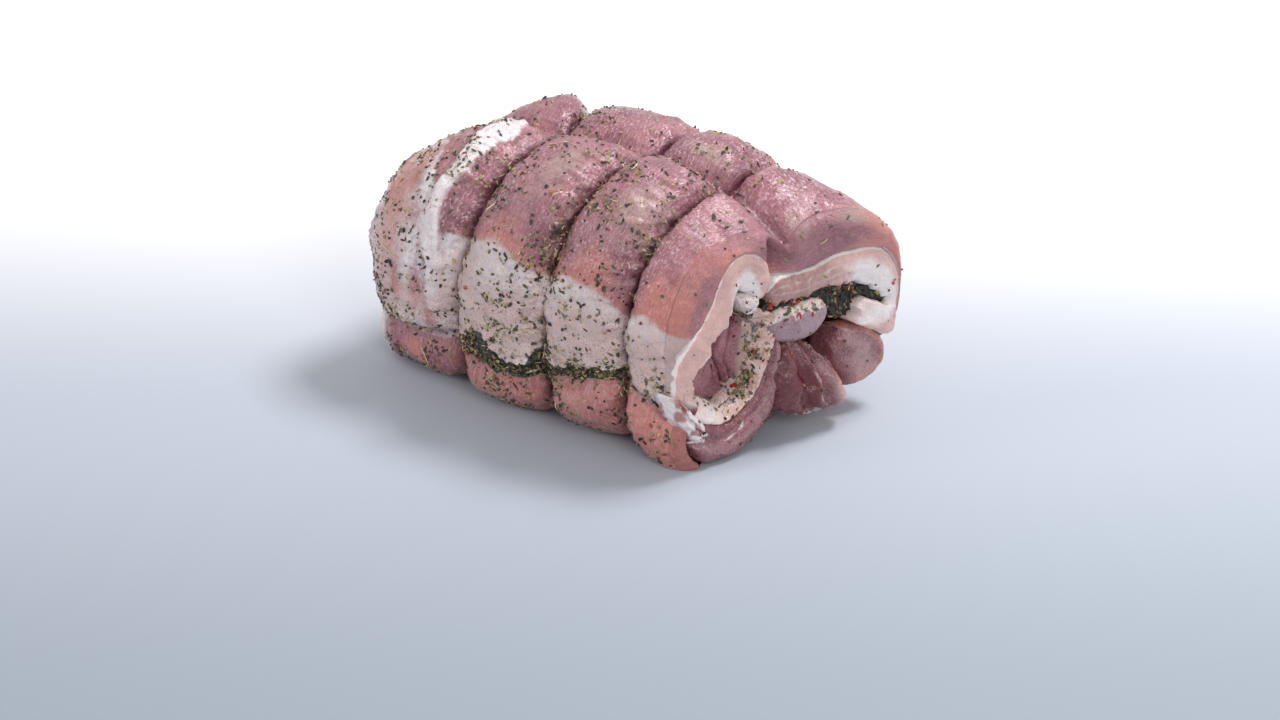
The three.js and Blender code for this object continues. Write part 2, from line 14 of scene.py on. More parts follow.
import bpy
import numpy as np
from mathutils import Euler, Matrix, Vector

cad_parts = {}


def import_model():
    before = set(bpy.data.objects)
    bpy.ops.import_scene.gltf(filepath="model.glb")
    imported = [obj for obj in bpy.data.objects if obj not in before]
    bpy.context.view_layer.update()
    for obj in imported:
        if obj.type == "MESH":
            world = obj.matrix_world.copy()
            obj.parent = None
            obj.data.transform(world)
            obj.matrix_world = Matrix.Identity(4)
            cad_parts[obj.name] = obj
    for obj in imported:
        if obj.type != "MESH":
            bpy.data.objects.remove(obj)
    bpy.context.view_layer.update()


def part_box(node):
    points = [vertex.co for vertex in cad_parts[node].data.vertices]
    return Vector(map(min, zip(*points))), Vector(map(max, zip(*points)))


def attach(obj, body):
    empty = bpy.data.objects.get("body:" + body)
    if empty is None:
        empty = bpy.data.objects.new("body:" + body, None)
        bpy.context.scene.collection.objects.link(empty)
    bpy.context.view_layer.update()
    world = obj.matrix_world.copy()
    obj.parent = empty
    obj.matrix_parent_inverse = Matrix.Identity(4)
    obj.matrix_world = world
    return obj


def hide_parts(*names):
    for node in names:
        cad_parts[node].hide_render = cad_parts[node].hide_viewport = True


LOG = logging.getLogger("porchetta")
MM = 0.001
# Arc per degree round the roll (mm), at its mean radius of 58 mm.
ARC = np.radians(58)

Array = np.ndarray
Floats = tuple[float, ...]
Material = bpy.types.Material
Tree = bpy.types.NodeTree
Socket = bpy.types.NodeSocket
# Soft patches on the roll: row (mm), angle (degrees), spread along X (mm) and round (degrees), strength.
Patches = tuple[Floats, ...]
# The two edges of a layer on the cut, place by place: outer y, z, rise, then inner y, z, rise (mm).
Edges = tuple[tuple[float, float, float, float, float, float], ...]


# ---- numbers and small maths


def linear(hex_colour: str) -> tuple[float, float, float, float]:
    """Turn an sRGB hex colour into linear RGBA.

    Args:
        hex_colour: a colour such as "#c9878b".

    Returns:
        The four linear values, with alpha 1.
    """
    srgb = np.array([int(hex_colour[i : i + 2], 16) for i in (1, 3, 5)]) / 255
    low, high = srgb / 12.92, ((srgb + 0.055) / 1.055) ** 2.4
    red, green, blue = np.where(srgb <= 0.04045, low, high)
    return float(red), float(green), float(blue), 1.0


def smoothstep(x: Array, low: float, high: float) -> Array:
    """Rise smoothly from 0 at low to 1 at high: 3t^2 - 2t^3."""
    t = unit((x - low) / (high - low))
    return t * t * (3 - 2 * t)


def falling(x: Array, low: float, high: float) -> Array:
    """Fall smoothly from 1 at low to 0 at high."""
    return 1.0 - smoothstep(x, low, high)


def unit(x: Array | float) -> Array | float:
    """Hold values between 0 and 1."""
    return np.clip(x, 0.0, 1.0)


def bump(x: Array, centre: float, spread: float) -> Array:
    """Give a bell of height 1: exp(-((x - centre) / spread)^2)."""
    return np.exp(-(((x - centre) / spread) ** 2))


def angle_between(a: Array, b: Array | float) -> Array:
    """Give the signed angle from b to a in degrees, from -180 to 180."""
    return (a - b + 180) % 360 - 180


def plane(a: Array, b: Array | float = 0) -> Array:
    """Put two coordinates into points of a plane, for noise."""
    return np.stack(np.broadcast_arrays(a, b, 0), axis=-1)


def soft_patches(patches: Patches, row: Array, angle: Array) -> Array:
    """Add up soft round patches: strength * exp(-(row part)^2 - (angle part)^2)."""
    return sum(
        strength * np.exp(-(((row - at) / along) ** 2) - (angle_between(angle, turn) / round_) ** 2)
        for at, turn, along, round_, strength in patches
    )


def rounding(distance: Array, radius: Array | float) -> Array:
    """Give how far a quarter-round edge lies below its face: r - sqrt(r^2 - (r - distance)^2)."""
    left = 1 - unit(distance / radius)
    return radius * (1 - np.sqrt(1 - left * left))


def hermite(x: Array, xs: Array, ys: Array) -> Array:
    """Read a table with a cubic Hermite curve whose slopes are central differences.

    Args:
        x: where to read it.
        xs: the table's places, rising.
        ys: the table's values.

    Returns:
        The value at each x, held flat past both ends.
    """
    ahead = np.minimum(np.arange(len(xs)) + 1, len(xs) - 1)
    behind = np.maximum(np.arange(len(xs)) - 1, 0)
    slopes = (ys[ahead] - ys[behind]) / (xs[ahead] - xs[behind])
    i = np.clip(np.searchsorted(xs, x) - 1, 0, len(xs) - 2)
    width = xs[i + 1] - xs[i]
    t = unit((x - xs[i]) / width)
    value = (2 * t**3 - 3 * t**2 + 1) * ys[i] + (3 * t**2 - 2 * t**3) * ys[i + 1]
    return value + width * ((t**3 - 2 * t**2 + t) * slopes[i] + (t**3 - t**2) * slopes[i + 1])


def smooth_path(stations: Array, count: int) -> Array:
    """Carry a smooth open curve through rows of numbers, evenly spaced by the first three columns.

    Args:
        stations: one row per station, any number of columns.
        count: how many rows to return.

    Returns:
        Rows along a Catmull-Rom curve through the stations.
    """
    stations = np.asarray(stations, float)
    padded = np.vstack([2 * stations[0] - stations[1], stations, 2 * stations[-1] - stations[-2]])
    steps = np.linspace(0, len(stations) - 1, 12 * len(stations))
    i = np.minimum(steps.astype(int), len(stations) - 2)
    t = (steps - i)[:, None]
    p0, p1, p2, p3 = (padded[i + k] for k in range(4))
    fine = 0.5 * (2 * p1 + (p2 - p0) * t + (2 * p0 - 5 * p1 + 4 * p2 - p3) * t**2
                  + (3 * p1 - p0 - 3 * p2 + p3) * t**3)
    length = np.concatenate([[0], np.cumsum(np.linalg.norm(np.diff(fine[:, :3], axis=0), axis=1))])
    even = np.linspace(0, length[-1], count)
    return np.stack([np.interp(even, length, fine[:, k]) for k in range(fine.shape[1])], axis=1)


def lattice_noise(points: Array, size: float, seed: int) -> Array:
    """Give smooth noise from -1 to 1: random values at the corners of cubes, blended by smooth steps.

    Args:
        points: an array of shape (..., 3).
        size: the cube's edge, in the points' unit.
        seed: picks the random values.

    Returns:
        One value per point.
    """
    scaled = points / size
    base = np.floor(scaled).astype(np.int64)
    t = scaled - base
    t = t * t * (3 - 2 * t)
    total = np.zeros(points.shape[:-1])
    for corner in np.ndindex(2, 2, 2):
        cell = base + np.array(corner)
        mixed = cell[..., 0] * 73856093 ^ cell[..., 1] * 19349663 ^ cell[..., 2] * 83492791 ^ seed * 97531
        mixed = (mixed ^ (mixed >> 13)) * 1274126177
        value = ((mixed ^ (mixed >> 16)) & 0xFFFF) / 32767.5 - 1
        total += value * np.prod(np.where(np.array(corner) == 1, t, 1 - t), axis=-1)
    return total


def lumps(points: Array, size: float, seed: int, octaves: int = 3) -> Array:
    """Add octaves of lattice noise, each half the size and half the height of the last."""
    return sum(lattice_noise(points, size / 2**k, seed + k) / 2**k for k in range(octaves))


def distance_to_path(across: Array, along: Array, path: list[tuple[float, float]]) -> Array:
    """Give each point's distance to a path of straight pieces, all in millimetres."""
    corners = np.asarray(path, float)
    best = np.full(np.shape(across), np.inf)
    for start, end in zip(corners[:-1], corners[1:]):
        run = end - start
        t = ((across - start[0]) * run[0] + (along - start[1]) * run[1]) / (run @ run)
        t = unit(t)
        best = np.minimum(best, np.hypot(across - start[0] - t * run[0], along - start[1] - t * run[1]))
    return best


# ---- meshes


@dataclass
class Shell:
    """A surface in millimetres: its points, four- and three-sided faces, point fields and UV per corner."""

    points: Array
    quads: Array
    tris: Array
    fields: dict[str, Array] = field(default_factory=dict)
    quad_uv: Array | None = None

    @staticmethod
    def joined(shells: list["Shell"]) -> "Shell":
        """Put several shells into one, each closed on its own; a field that one of them lacks is 0 there."""
        starts = np.cumsum([0] + [len(s.points) for s in shells[:-1]])
        names = sorted(set().union(*[s.fields for s in shells]))
        return Shell(
            np.vstack([s.points for s in shells]),
            np.vstack([s.quads + k for s, k in zip(shells, starts)]),
            np.vstack([s.tris + k for s, k in zip(shells, starts)]),
            {n: np.concatenate([s.fields.get(n, np.zeros(len(s.points))) for s in shells]) for n in names},
        )

    def paint(self, **fields: Array | float) -> None:
        """Set point fields, each with a value for every point or one for all."""
        for key, value in fields.items():
            self.fields[key] = np.broadcast_to(value, len(self.points)).astype(float)

    def face_out(self) -> None:
        """Turn the faces round if the volume that they enclose comes out negative."""
        a, b, c, d = (self.points[self.quads[:, k]] for k in range(4))
        halves = (np.einsum("ij,ij->i", a, np.cross(*sides)).sum() for sides in ((b, c), (c, d)))
        if sum(halves) < 0:
            self.quads, self.tris = self.quads[:, ::-1], self.tris[:, ::-1]

    def face_samples(self) -> tuple[Array, Array, Array]:
        """Give each triangle's corners (N, 3), its area and its outward unit normal."""
        halves = [self.quads[:, [0, 1, 2]], self.quads[:, [0, 2, 3]], self.tris]
        corners = np.vstack([h for h in halves if len(h)])
        a, b, c = (self.points[corners[:, k]] for k in range(3))
        cross = np.cross(b - a, c - a)
        doubled = np.linalg.norm(cross, axis=1)
        return corners, doubled / 2, cross / np.maximum(doubled, 1e-12)[:, None]


@dataclass(frozen=True)
class Placing:
    """Carries the roll's own millimetres to the frame's metres."""

    shift_mm: tuple[float, float, float]

    def to_frame(self, points: Array) -> Array:
        """Shift points to the frame and turn them into metres."""
        return (np.asarray(points, float) + np.array(self.shift_mm)) * MM

    def make(self, name: str, shell: Shell, material: Material, smooth: bool = True) -> bpy.types.Object:
        """Write a shell into a mesh object that rides on the frame's one body.

        Args:
            name: the piece's name.
            shell: the surface to write.
            material: its finish.
            smooth: shade smoothly, or flat for broken crumbs.

        Returns:
            The new object.
        """
        mesh = bpy.data.meshes.new(name)
        corner_count = 4 * len(shell.quads) + 3 * len(shell.tris)
        mesh.vertices.add(len(shell.points))
        mesh.vertices.foreach_set("co", self.to_frame(shell.points).astype(np.float32).ravel())
        mesh.loops.add(corner_count)
        corners = np.concatenate([shell.quads.ravel(), shell.tris.ravel()]).astype(np.int32)
        mesh.loops.foreach_set("vertex_index", corners)
        quad_starts = 4 * np.arange(len(shell.quads))
        tri_starts = 4 * len(shell.quads) + 3 * np.arange(len(shell.tris))
        mesh.polygons.add(len(shell.quads) + len(shell.tris))
        mesh.polygons.foreach_set("loop_start", np.concatenate([quad_starts, tri_starts]).astype(np.int32))
        if shell.quad_uv is not None:
            layer = mesh.uv_layers.new(name="grain")
            uv = np.vstack([shell.quad_uv.reshape(-1, 2), np.zeros((3 * len(shell.tris), 2))])
            layer.data.foreach_set("uv", uv.astype(np.float32).ravel())
        for key, values in shell.fields.items():
            attribute = mesh.attributes.new(key, "FLOAT", "POINT")
            attribute.data.foreach_set("value", values.astype(np.float32))
        mesh.update(calc_edges=True)
        mesh.polygons.foreach_set("use_smooth", np.full(len(mesh.polygons), smooth))
        mesh.materials.append(material)
        piece = bpy.data.objects.new(name, mesh)
        bpy.context.scene.collection.objects.link(piece)
        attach(piece, "root")
        LOG.info("%s: %d faces", name, len(mesh.polygons))
        return piece


def wrapped_grid(rows: int, columns: int) -> Array:
    """Give the quads of a grid whose last column joins its first.

    Args:
        rows: how many rows, which run along +X.
        columns: how many columns, which turn from +Y to +Z.

    Returns:
        Four corners per quad, facing out.
    """
    row, column = np.meshgrid(np.arange(rows - 1), np.arange(columns), indexing="ij")
    after = (column + 1) % columns
    here, ahead = row * columns, (row + 1) * columns
    return np.stack([here + column, here + after, ahead + after, ahead + column], axis=-1).reshape(-1, 4)


def fan(ring: Array, pole: int, reverse: bool) -> Array:
    """Close a ring of points with triangles to a pole."""
    after = np.roll(ring, -1)
    sides = (after, ring) if reverse else (ring, after)
    return np.stack([*sides, np.full(len(ring), pole)], axis=1)


def closed_grid(grid: Array) -> Shell:
    """Close a grid that wraps round, with a fan to the middle of its first row and of its last."""
    rows, columns = grid.shape[:2]
    points = np.vstack([grid.reshape(-1, 3), grid[0].mean(0), grid[-1].mean(0)])
    first = np.arange(columns)
    last = (rows - 1) * columns + first
    tris = np.vstack([fan(first, len(points) - 2, True), fan(last, len(points) - 1, False)])
    return Shell(points, wrapped_grid(rows, columns), tris)


# ---- the roll's form


@dataclass(frozen=True)
class Tie:
    """One tie: its row, and how far its loop leans along X over the top and at the back (mm)."""

    row: float
    over_top: float
    at_back: float


@dataclass(frozen=True)
class RollForm:
    """The roll's outer form, with the same named sizes in millimetres as the part's own source."""

    rows: Floats = (-97, -80, -58, -30, 0, 22, 45, 62, 80)
    front: Floats = (52, 60, 64, 68, 68, 67, 65, 62, 60)
    back: Floats = (46, 55, 60, 62, 62, 62, 61, 60, 61)
    top: Floats = (92, 105, 112, 115, 118, 117, 112, 105, 97)
    ties: tuple[Tie, ...] = (Tie(-53, 13, -16), Tie(-4, 10, 2), Tie(37.5, 9, 2))
    # The twine itself bites a narrow line into the floor of each pinch.
    bite_depth: float = 1.9
    bite_width: float = 1.1
    cut_row: float = 80.0
    far_row: float = -97.0
    centre_height: float = 52.0
    sink: float = 1.5
    square_top: float = 2.6
    square_bottom: float = 3.2
    cut_slant: float = 0.24
    far_slant: float = 0.1
    pinch_depth: float = 9.5
    pinch_floor: float = 1.0
    pinch_bell: float = 6.0
    pinch_pillow: float = 14.0
    tie_flattening: float = 0.65
    groove_at: tuple[float, float] = (86, 93)
    groove_depth: tuple[float, float] = (9, 12)
    groove_width: float = 8.5
    seam_depth: float = 5.5
    seam_width: float = 4.5
    lip_rise: float = 5.0
    lip_start: float = 3.0
    lip_width: float = 6.0
    lip_end: float = 14.0
    lip_fade: float = 30.0
    # Where the ties lean back most, and how far round that spreads (degrees).
    lean_angle: float = 35.0
    lean_spread: float = 40.0
    # The seam climbs between the second and third tie, where the upper layer is drawn up.
    seam_rows: Floats = (-97, -77, -47, -19, -7, 16, 33, 42, 50, 62, 80)
    seam_angles: Floats = (208, 207, 204, 205, 203, 196.5, 194, 196, 199, 203, 206)
    # Swellings and hollows; the strength is the rise in mm.
    bulges: Patches = (
        (-66, 58, 12, 16, 2), (-80, 128, 13, 22, 4), (-88, 178, 12, 26, 5),
        (30, 50, 26, 16, -3), (68, 233, 16, 19, 9), (76, 312, 32, 24, -15),
    )

    def seam_angle(self, row: Array) -> Array:
        """Give the seam's angle at each row, in degrees."""
        return np.interp(row, self.seam_rows, self.seam_angles)

    def smooth_radius(self, row: Array, angle: Array) -> Array:
        """Give the plain roll's radius: a superellipse, squarer below than above, sized by the row."""
        rows = np.asarray(self.rows, float)
        at = np.minimum(row, self.cut_row)
        cosine, sine = np.cos(np.radians(angle)), np.sin(np.radians(angle))
        reach = np.where(cosine < 0, hermite(at, rows, np.asarray(self.front, float)),
                         hermite(at, rows, np.asarray(self.back, float)))
        above = hermite(at, rows, np.asarray(self.top, float)) - self.centre_height
        height = np.where(sine > 0, above, self.centre_height + self.sink)
        power = np.where(sine > 0, self.square_top, self.square_bottom)
        return ((np.abs(cosine) / reach) ** power + (np.abs(sine) / height) ** power) ** (-1 / power)

    def pinch(self, row: Array) -> Array:
        """Give how deep the ties draw the meat in: half a narrow bell, half a pillow's quarter circle."""
        deepest = np.zeros(np.shape(row))
        for tie in self.ties:
            away = np.maximum(np.abs(row - tie.row) - self.pinch_floor, 0)
            bell = 1 / (1 + (away / self.pinch_bell) ** 2) ** 1.5
            t = np.minimum(away / self.pinch_pillow, 1)
            deepest = np.maximum(deepest, self.pinch_depth * (bell + 1 - np.sqrt(t * (2 - t))) / 2)
        return deepest

    def bite(self, row: Array) -> Array:
        """Give how deep the twine bites past the pinch: a bell one millimetre wide at each tie."""
        return self.bite_depth * sum(bump(row, tie.row, self.bite_width) for tie in self.ties)

    def groove(self, row: Array, angle: Array, smooth: Array) -> Array:
        """Give the depth of the fold along the top: depth / (1 + (arc / width)^2)^1.2."""
        share = unit((row - self.far_row) / (self.cut_row - self.far_row))
        centre = self.groove_at[0] + (self.groove_at[1] - self.groove_at[0]) * share
        depth = self.groove_depth[0] + (self.groove_depth[1] - self.groove_depth[0]) * share
        arc = np.radians(angle_between(angle, centre)) * smooth
        return depth / (1 + (arc / self.groove_width) ** 2) ** 1.2

    def seam(self, row: Array, angle: Array, smooth: Array) -> Array:
        """Give the seam's depth: a narrow bell, less the lip that swells below it and fades."""
        arc = np.radians(angle_between(angle, self.seam_angle(row))) * smooth
        crease = self.seam_depth * bump(arc, 0, self.seam_width)
        past = np.maximum(arc - self.lip_start, 0)
        lip = self.lip_rise * (1 - np.exp(-((past / self.lip_width) ** 2)))
        lip = lip * np.exp(-((np.maximum(arc - self.lip_end, 0) / self.lip_fade) ** 2))
        return crease - lip

    def radius(self, row: Array, angle: Array) -> Array:
        """Give the roll's radius: the plain roll, less its pinches, with folds and swellings that a tie
        presses flat."""
        smooth = self.smooth_radius(row, angle)
        pinch = self.pinch(row)
        swelling = soft_patches(self.bulges, row, angle)
        free = 1 - self.tie_flattening * pinch / self.pinch_depth
        folds = self.groove(row, angle, smooth) + self.seam(row, angle, smooth)
        return smooth - pinch - self.bite(row) + free * (swelling - folds)

    def row_lean(self, row: Array, angle: Array) -> Array:
        """Give how far a row leans along X as it goes over the top and down the back."""
        marks = [self.far_row, *(t.row for t in self.ties), self.cut_row]
        over = np.interp(row, marks, [0, *(t.over_top for t in self.ties), 0])
        back = np.interp(row, marks, [0, *(t.at_back for t in self.ties), 0])
        upward = np.maximum(0, np.sin(np.radians(angle)))
        return over * upward + back * bump(angle_between(angle, self.lean_angle), 0, self.lean_spread)

    def point(self, row: Array, angle: Array, scale: float | Array = 1.0, lift: float | Array = 0.0) -> Array:
        """Give the points of the roll's skin, scaled towards its middle line and lifted off it.

        Args:
            row: place along the roll (mm).
            angle: angle round it (degrees).
            scale: share of the radius.
            lift: added to the radius (mm).

        Returns:
            Points of shape (..., 3), in millimetres.
        """
        row, angle = np.broadcast_arrays(np.asarray(row, float), np.asarray(angle, float))
        reach = self.radius(row, angle) * scale + lift
        y = reach * np.cos(np.radians(angle))
        z = np.maximum(self.centre_height + reach * np.sin(np.radians(angle)), 0)
        last_tie, first_tie = self.ties[-1].row, self.ties[0].row
        slant = self.cut_slant * unit((row - last_tie) / (self.cut_row - last_tie))
        slant = slant + self.far_slant * unit((first_tie - row) / (first_tie - self.far_row))
        return np.stack([row + self.row_lean(row, angle) + slant * y, y, z], axis=-1)

    def on_cut(self, y: Array, z: Array, rise: Array | float) -> Array:
        """Give points that stand a rise past the slanted plane of the cut."""
        return np.stack(np.broadcast_arrays(self.cut_row + self.cut_slant * y + rise, y, z), axis=-1)


# ---- materials


def add_node(tree: Tree, kind: str, inputs: dict | None = None, **settings) -> bpy.types.Node:
    """Add a node with its settings, values and links.

    Args:
        tree: the material's node tree.
        kind: the node's type name.
        inputs: by socket name or number, a value or an output socket to link.
        settings: attributes of the node.

    Returns:
        The new node.
    """
    node = tree.nodes.new(kind)
    for key, value in settings.items():
        setattr(node, key, value)
    for key, value in (inputs or {}).items():
        if isinstance(value, Socket):
            tree.links.new(value, node.inputs[key])
        else:
            node.inputs[key].default_value = value
    return node


def new_material(name: str) -> tuple[Material, Tree, Socket]:
    """Make an empty node material and give it with its tree and its Object coordinates."""
    material = bpy.data.materials.new(name)
    material.use_nodes = True
    material.node_tree.nodes.clear()
    where = add_node(material.node_tree, "ShaderNodeTexCoord").outputs["Object"]
    return material, material.node_tree, where


def principled(material: Material, inputs: dict) -> Material:
    """Give a material its one Principled shader, with these inputs, and return the material."""
    shader = add_node(material.node_tree, "ShaderNodeBsdfPrincipled", inputs)
    add_node(material.node_tree, "ShaderNodeOutputMaterial", {"Surface": shader.outputs["BSDF"]})
    return material


def point_field(tree: Tree, name: str) -> Socket:
    """Read one of the mesh's point fields."""
    return add_node(tree, "ShaderNodeAttribute", attribute_name=name).outputs["Fac"]


def bumped(tree: Tree, height: Socket, distance_mm: float, strength: float) -> Socket:
    """Turn a height from 0 to 1 into a bumped normal."""
    inputs = {"Height": height, "Distance": distance_mm * MM, "Strength": strength}
    return add_node(tree, "ShaderNodeBump", inputs).outputs["Normal"]


def mixed(tree: Tree, share: Socket | float, first: object, second: object, blend: str = "MIX") -> Socket:
    """Mix two colours, each a hex word or a socket, and give the result's socket."""
    start, end = (linear(c) if isinstance(c, str) else c for c in (first, second))
    inputs = {0: share, 6: start, 7: end}
    return add_node(tree, "ShaderNodeMix", inputs, data_type="RGBA", blend_type=blend).outputs[2]


def ranged(tree: Tree, value: Socket, low: float, high: float,
           to_low: float = 0.0, to_high: float = 1.0) -> Socket:
    """Map a value smoothly from one range to another."""
    inputs = {"Value": value, "From Min": low, "From Max": high, "To Min": to_low, "To Max": to_high}
    return add_node(tree, "ShaderNodeMapRange", inputs, interpolation_type="SMOOTHSTEP").outputs["Result"]


def summed(tree: Tree, operation: str, first: object, second: object) -> Socket:
    """Do one sum on two values or sockets."""
    return add_node(tree, "ShaderNodeMath", {0: first, 1: second}, operation=operation).outputs[0]


def weighted(tree: Tree, *parts: tuple[Socket, float]) -> Socket:
    """Add up sockets, each times its weight."""
    products = [summed(tree, "MULTIPLY", socket, weight) for socket, weight in parts]
    return reduce(lambda total, product: summed(tree, "ADD", total, product), products)


def noise_of(tree: Tree, where: Socket, size_mm: float, detail: float = 2.0,
             distortion: float = 0.0) -> Socket:
    """Give noise whose patches are about size_mm across, on Object coordinates in metres."""
    inputs = {"Vector": where, "Scale": 1 / (size_mm * MM), "Detail": detail, "Distortion": distortion}
    return add_node(tree, "ShaderNodeTexNoise", inputs).outputs["Fac"]


class Grain(Enum):
    """How the fibres of a piece show."""

    ALONG_HOOP = "long fibres that run round the roll"
    ACROSS = "fibres cut across, as short specks"


@dataclass(frozen=True)
class RawPork:
    """Raw pork, lean and fat in one piece of meat: moist, slightly see-through and finely fibred.

    Point fields drive it: `fat`, `salmon`, `deep`, `pale` and a field of painted sheen from 0 to 1, and
    `herb` from 0 to 6.
    The deep field is painted shade in folds, creases and recesses, and in places the lean's own darker tone;
    the sheen field lays lighter specks over the meat as a painted highlight.
    """

    name: str
    lean_dark: str = "#8b5260"
    lean: str = "#ab7077"
    # The lighter tone of the fibres, and the colour of the painted highlight.
    lean_light_and_sheen: str = "#d2bac4"
    salmon: str = "#cd8074"
    # The colour of painted shade in folds and recesses, and of darker purple-red lean.
    deep: str = "#74344a"
    pale: str = "#ae8f8a"
    fat: str = "#f8f5f6"
    fat_shade: str = "#cbc0c9"
    fat_blush: str = "#d2b4ad"
    dust: str = "#55543c"
    crust: str = "#1c1b14"
    crust_light: str = "#6c6a48"
    grain: Grain = Grain.ALONG_HOOP
    fibre_mm: float = 0.5
    # How much painted highlight is laid everywhere, as lighter specks in the base colour.
    painted_glisten: float = 0.3
    roughness: float = 0.42
    coat: float = 0.7
    relief_mm: float = 0.3
    border: float = 0.35

    def build(self) -> Material:
        """Make the material.

        Returns:
            A Principled material with lean, fat and their borders, fibres, a glossy coat, a painted highlight
            of lighter specks, painted shade in folds and herb dust.
        """
        material, tree, where = new_material(self.name)
        fields = {key: point_field(tree, key) for key in ("fat", "salmon", "deep", "pale", "herb", "wet")}
        patches = noise_of(tree, where, 12, 3, 0.3)
        mottle = noise_of(tree, where, 2.6, 3)
        ragged = noise_of(tree, where, 2, 4, 0.4)
        fine = noise_of(tree, where, 0.55, 2)
        fibres, beads = self._drawn(tree, where, 6), self._drawn(tree, where, 1.7)
        # Painted highlight: lighter specks of the fibres' light colour, where the sheen field and a base
        # amount ask for them.
        sheen = summed(tree, "MULTIPLY", ranged(tree, beads, 0.52, 0.66),
                       summed(tree, "ADD", summed(tree, "MULTIPLY", fields["wet"], 0.62), self.painted_glisten))
        lean = mixed(tree, ranged(tree, patches, 0.3, 0.68), self.lean_dark, self.lean)
        lean = mixed(tree, ranged(tree, mottle, 0.5, 0.8, 0, 0.4), lean, self.pale)
        lean = mixed(tree, self._field(tree, fields["pale"], mottle, 0.9), lean, self.pale)
        lean = mixed(tree, self._field(tree, fields["salmon"], mottle, 0.9), lean, self.salmon)
        lean = mixed(tree, ranged(tree, fibres, 0.5, 0.7, 0, 0.24), lean, self.lean_light_and_sheen)
        lean = mixed(tree, ranged(tree, fibres, 0.48, 0.3, 0, 0.35), lean, self.lean_dark)
        # The painted highlight laid over the lean.
        lean = mixed(tree, sheen, lean, self.lean_light_and_sheen)
        fat = mixed(tree, self._field(tree, fields["salmon"], patches, 1.1), self.fat, self.fat_blush)
        fat = mixed(tree, ranged(tree, mottle, 0.45, 0.75, 0, 0.55), fat, self.fat_shade)
        fat = mixed(tree, ranged(tree, fibres, 0.5, 0.7, 0, 0.6), fat, self.fat_shade)
        fat = mixed(tree, ranged(tree, fibres, 0.45, 0.3, 0, 0.4), fat, self.fat_blush)
        meat = mixed(tree, self._field(tree, fields["fat"], ragged, self.border), lean, fat)
        # Painted shade: the deep field darkens the meat towards the deep colour in folds, creases and
        # recesses; in places it is the lean's own darker tone.
        dark = mixed(tree, 1, meat, self.deep, "MULTIPLY")
        dark = mixed(tree, 0.45, dark, self.deep)
        meat = mixed(tree, self._field(tree, fields["deep"], mottle, 0.8), meat, dark)
        # Dust of the rub lies wherever there are herbs, and a crust of it where they are packed.
        dust = noise_of(tree, where, 0.6, 3)
        dusty = ranged(tree, fields["herb"], 0.3, 1.3, 0, 0.8)
        meat = mixed(tree, summed(tree, "MULTIPLY", ranged(tree, dust, 0.57, 0.66), dusty), meat, self.dust)
        crumb = noise_of(tree, where, 1.3, 3)
        crumbs = mixed(tree, ranged(tree, crumb, 0.5, 0.68), self.crust, self.crust_light)
        packed = self._field(tree, ranged(tree, fields["herb"], 1.5, 3.3), ragged, 0.25)
        meat = mixed(tree, packed, meat, crumbs)
        height = weighted(tree, (fibres, 0.7), (beads, 0.9), (fine, 0.45), (mottle, 1.2))
        # The wet film on top has its own, finer relief, so that its highlights break into beads.
        film = weighted(tree, (beads, 1.1), (fine, 0.5))
        return principled(material, {
            "Base Color": meat,
            "Roughness": ranged(tree, mottle, 0.35, 0.7, self.roughness - 0.07, self.roughness + 0.12),
            "Normal": bumped(tree, height, self.relief_mm * 2.5, 0.85),
            "IOR": 1.4,
            "Subsurface Weight": 0.2,
            "Subsurface Radius": (1, 0.45, 0.35),
            "Subsurface Scale": 1.4 * MM,
            "Coat Weight": self.coat,
            "Coat Roughness": 0.09,
            "Coat Normal": bumped(tree, film, self.relief_mm * 1.3, 0.8),
        })

    def _drawn(self, tree: Tree, where: Socket, stretch: float) -> Socket:
        """Give fine noise stretched along the hoop by so many times, or specks where fibres are cut."""
        if self.grain is Grain.ACROSS:
            return noise_of(tree, where, self.fibre_mm * (1.2 + 0.1 * stretch), 3)
        uv = add_node(tree, "ShaderNodeUVMap", uv_map="grain").outputs["UV"]
        drawn = add_node(tree, "ShaderNodeMapping",
                         {"Vector": uv, "Scale": (1 / (self.fibre_mm * stretch), 1 / self.fibre_mm, 1)})
        noise = add_node(tree, "ShaderNodeTexNoise",
                         {"Vector": drawn.outputs["Vector"], "Scale": 0.6, "Detail": 3, "Distortion": 0.5})
        return noise.outputs["Fac"]

    @staticmethod
    def _field(tree: Tree, value: Socket, ragged: Socket, softness: float) -> Socket:
        """Turn a field into a share whose border wanders with noise and is as soft as asked."""
        wander = summed(tree, "MULTIPLY", summed(tree, "SUBTRACT", ragged, 0.5), 0.55)
        wandering = summed(tree, "ADD", value, wander)
        return ranged(tree, wandering, 0.5 - softness / 2, 0.5 + softness / 2)


@dataclass(frozen=True)
class DryHerb:
    """Dried and chopped leaf, seed or chilli: dull, with a shade of its own for each flake."""

    name: str
    dark: str
    light: str
    roughness: float = 0.62
    coat: float = 0.15

    def build(self) -> Material:
        """Make the material from the flake's own `shade` field and a fine vein noise."""
        material, tree, where = new_material(self.name)
        veins = noise_of(tree, where, 0.5, 2)
        vein_shade = summed(tree, "MULTIPLY", summed(tree, "SUBTRACT", veins, 0.5), 0.5)
        share = summed(tree, "ADD", point_field(tree, "shade"), vein_shade)
        return principled(material, {
            "Base Color": mixed(tree, ranged(tree, share, 0, 1), self.dark, self.light),
            "Roughness": self.roughness,
            "Normal": bumped(tree, veins, 0.1, 0.6),
            "Coat Weight": self.coat,
            "Coat Roughness": 0.3,
        })


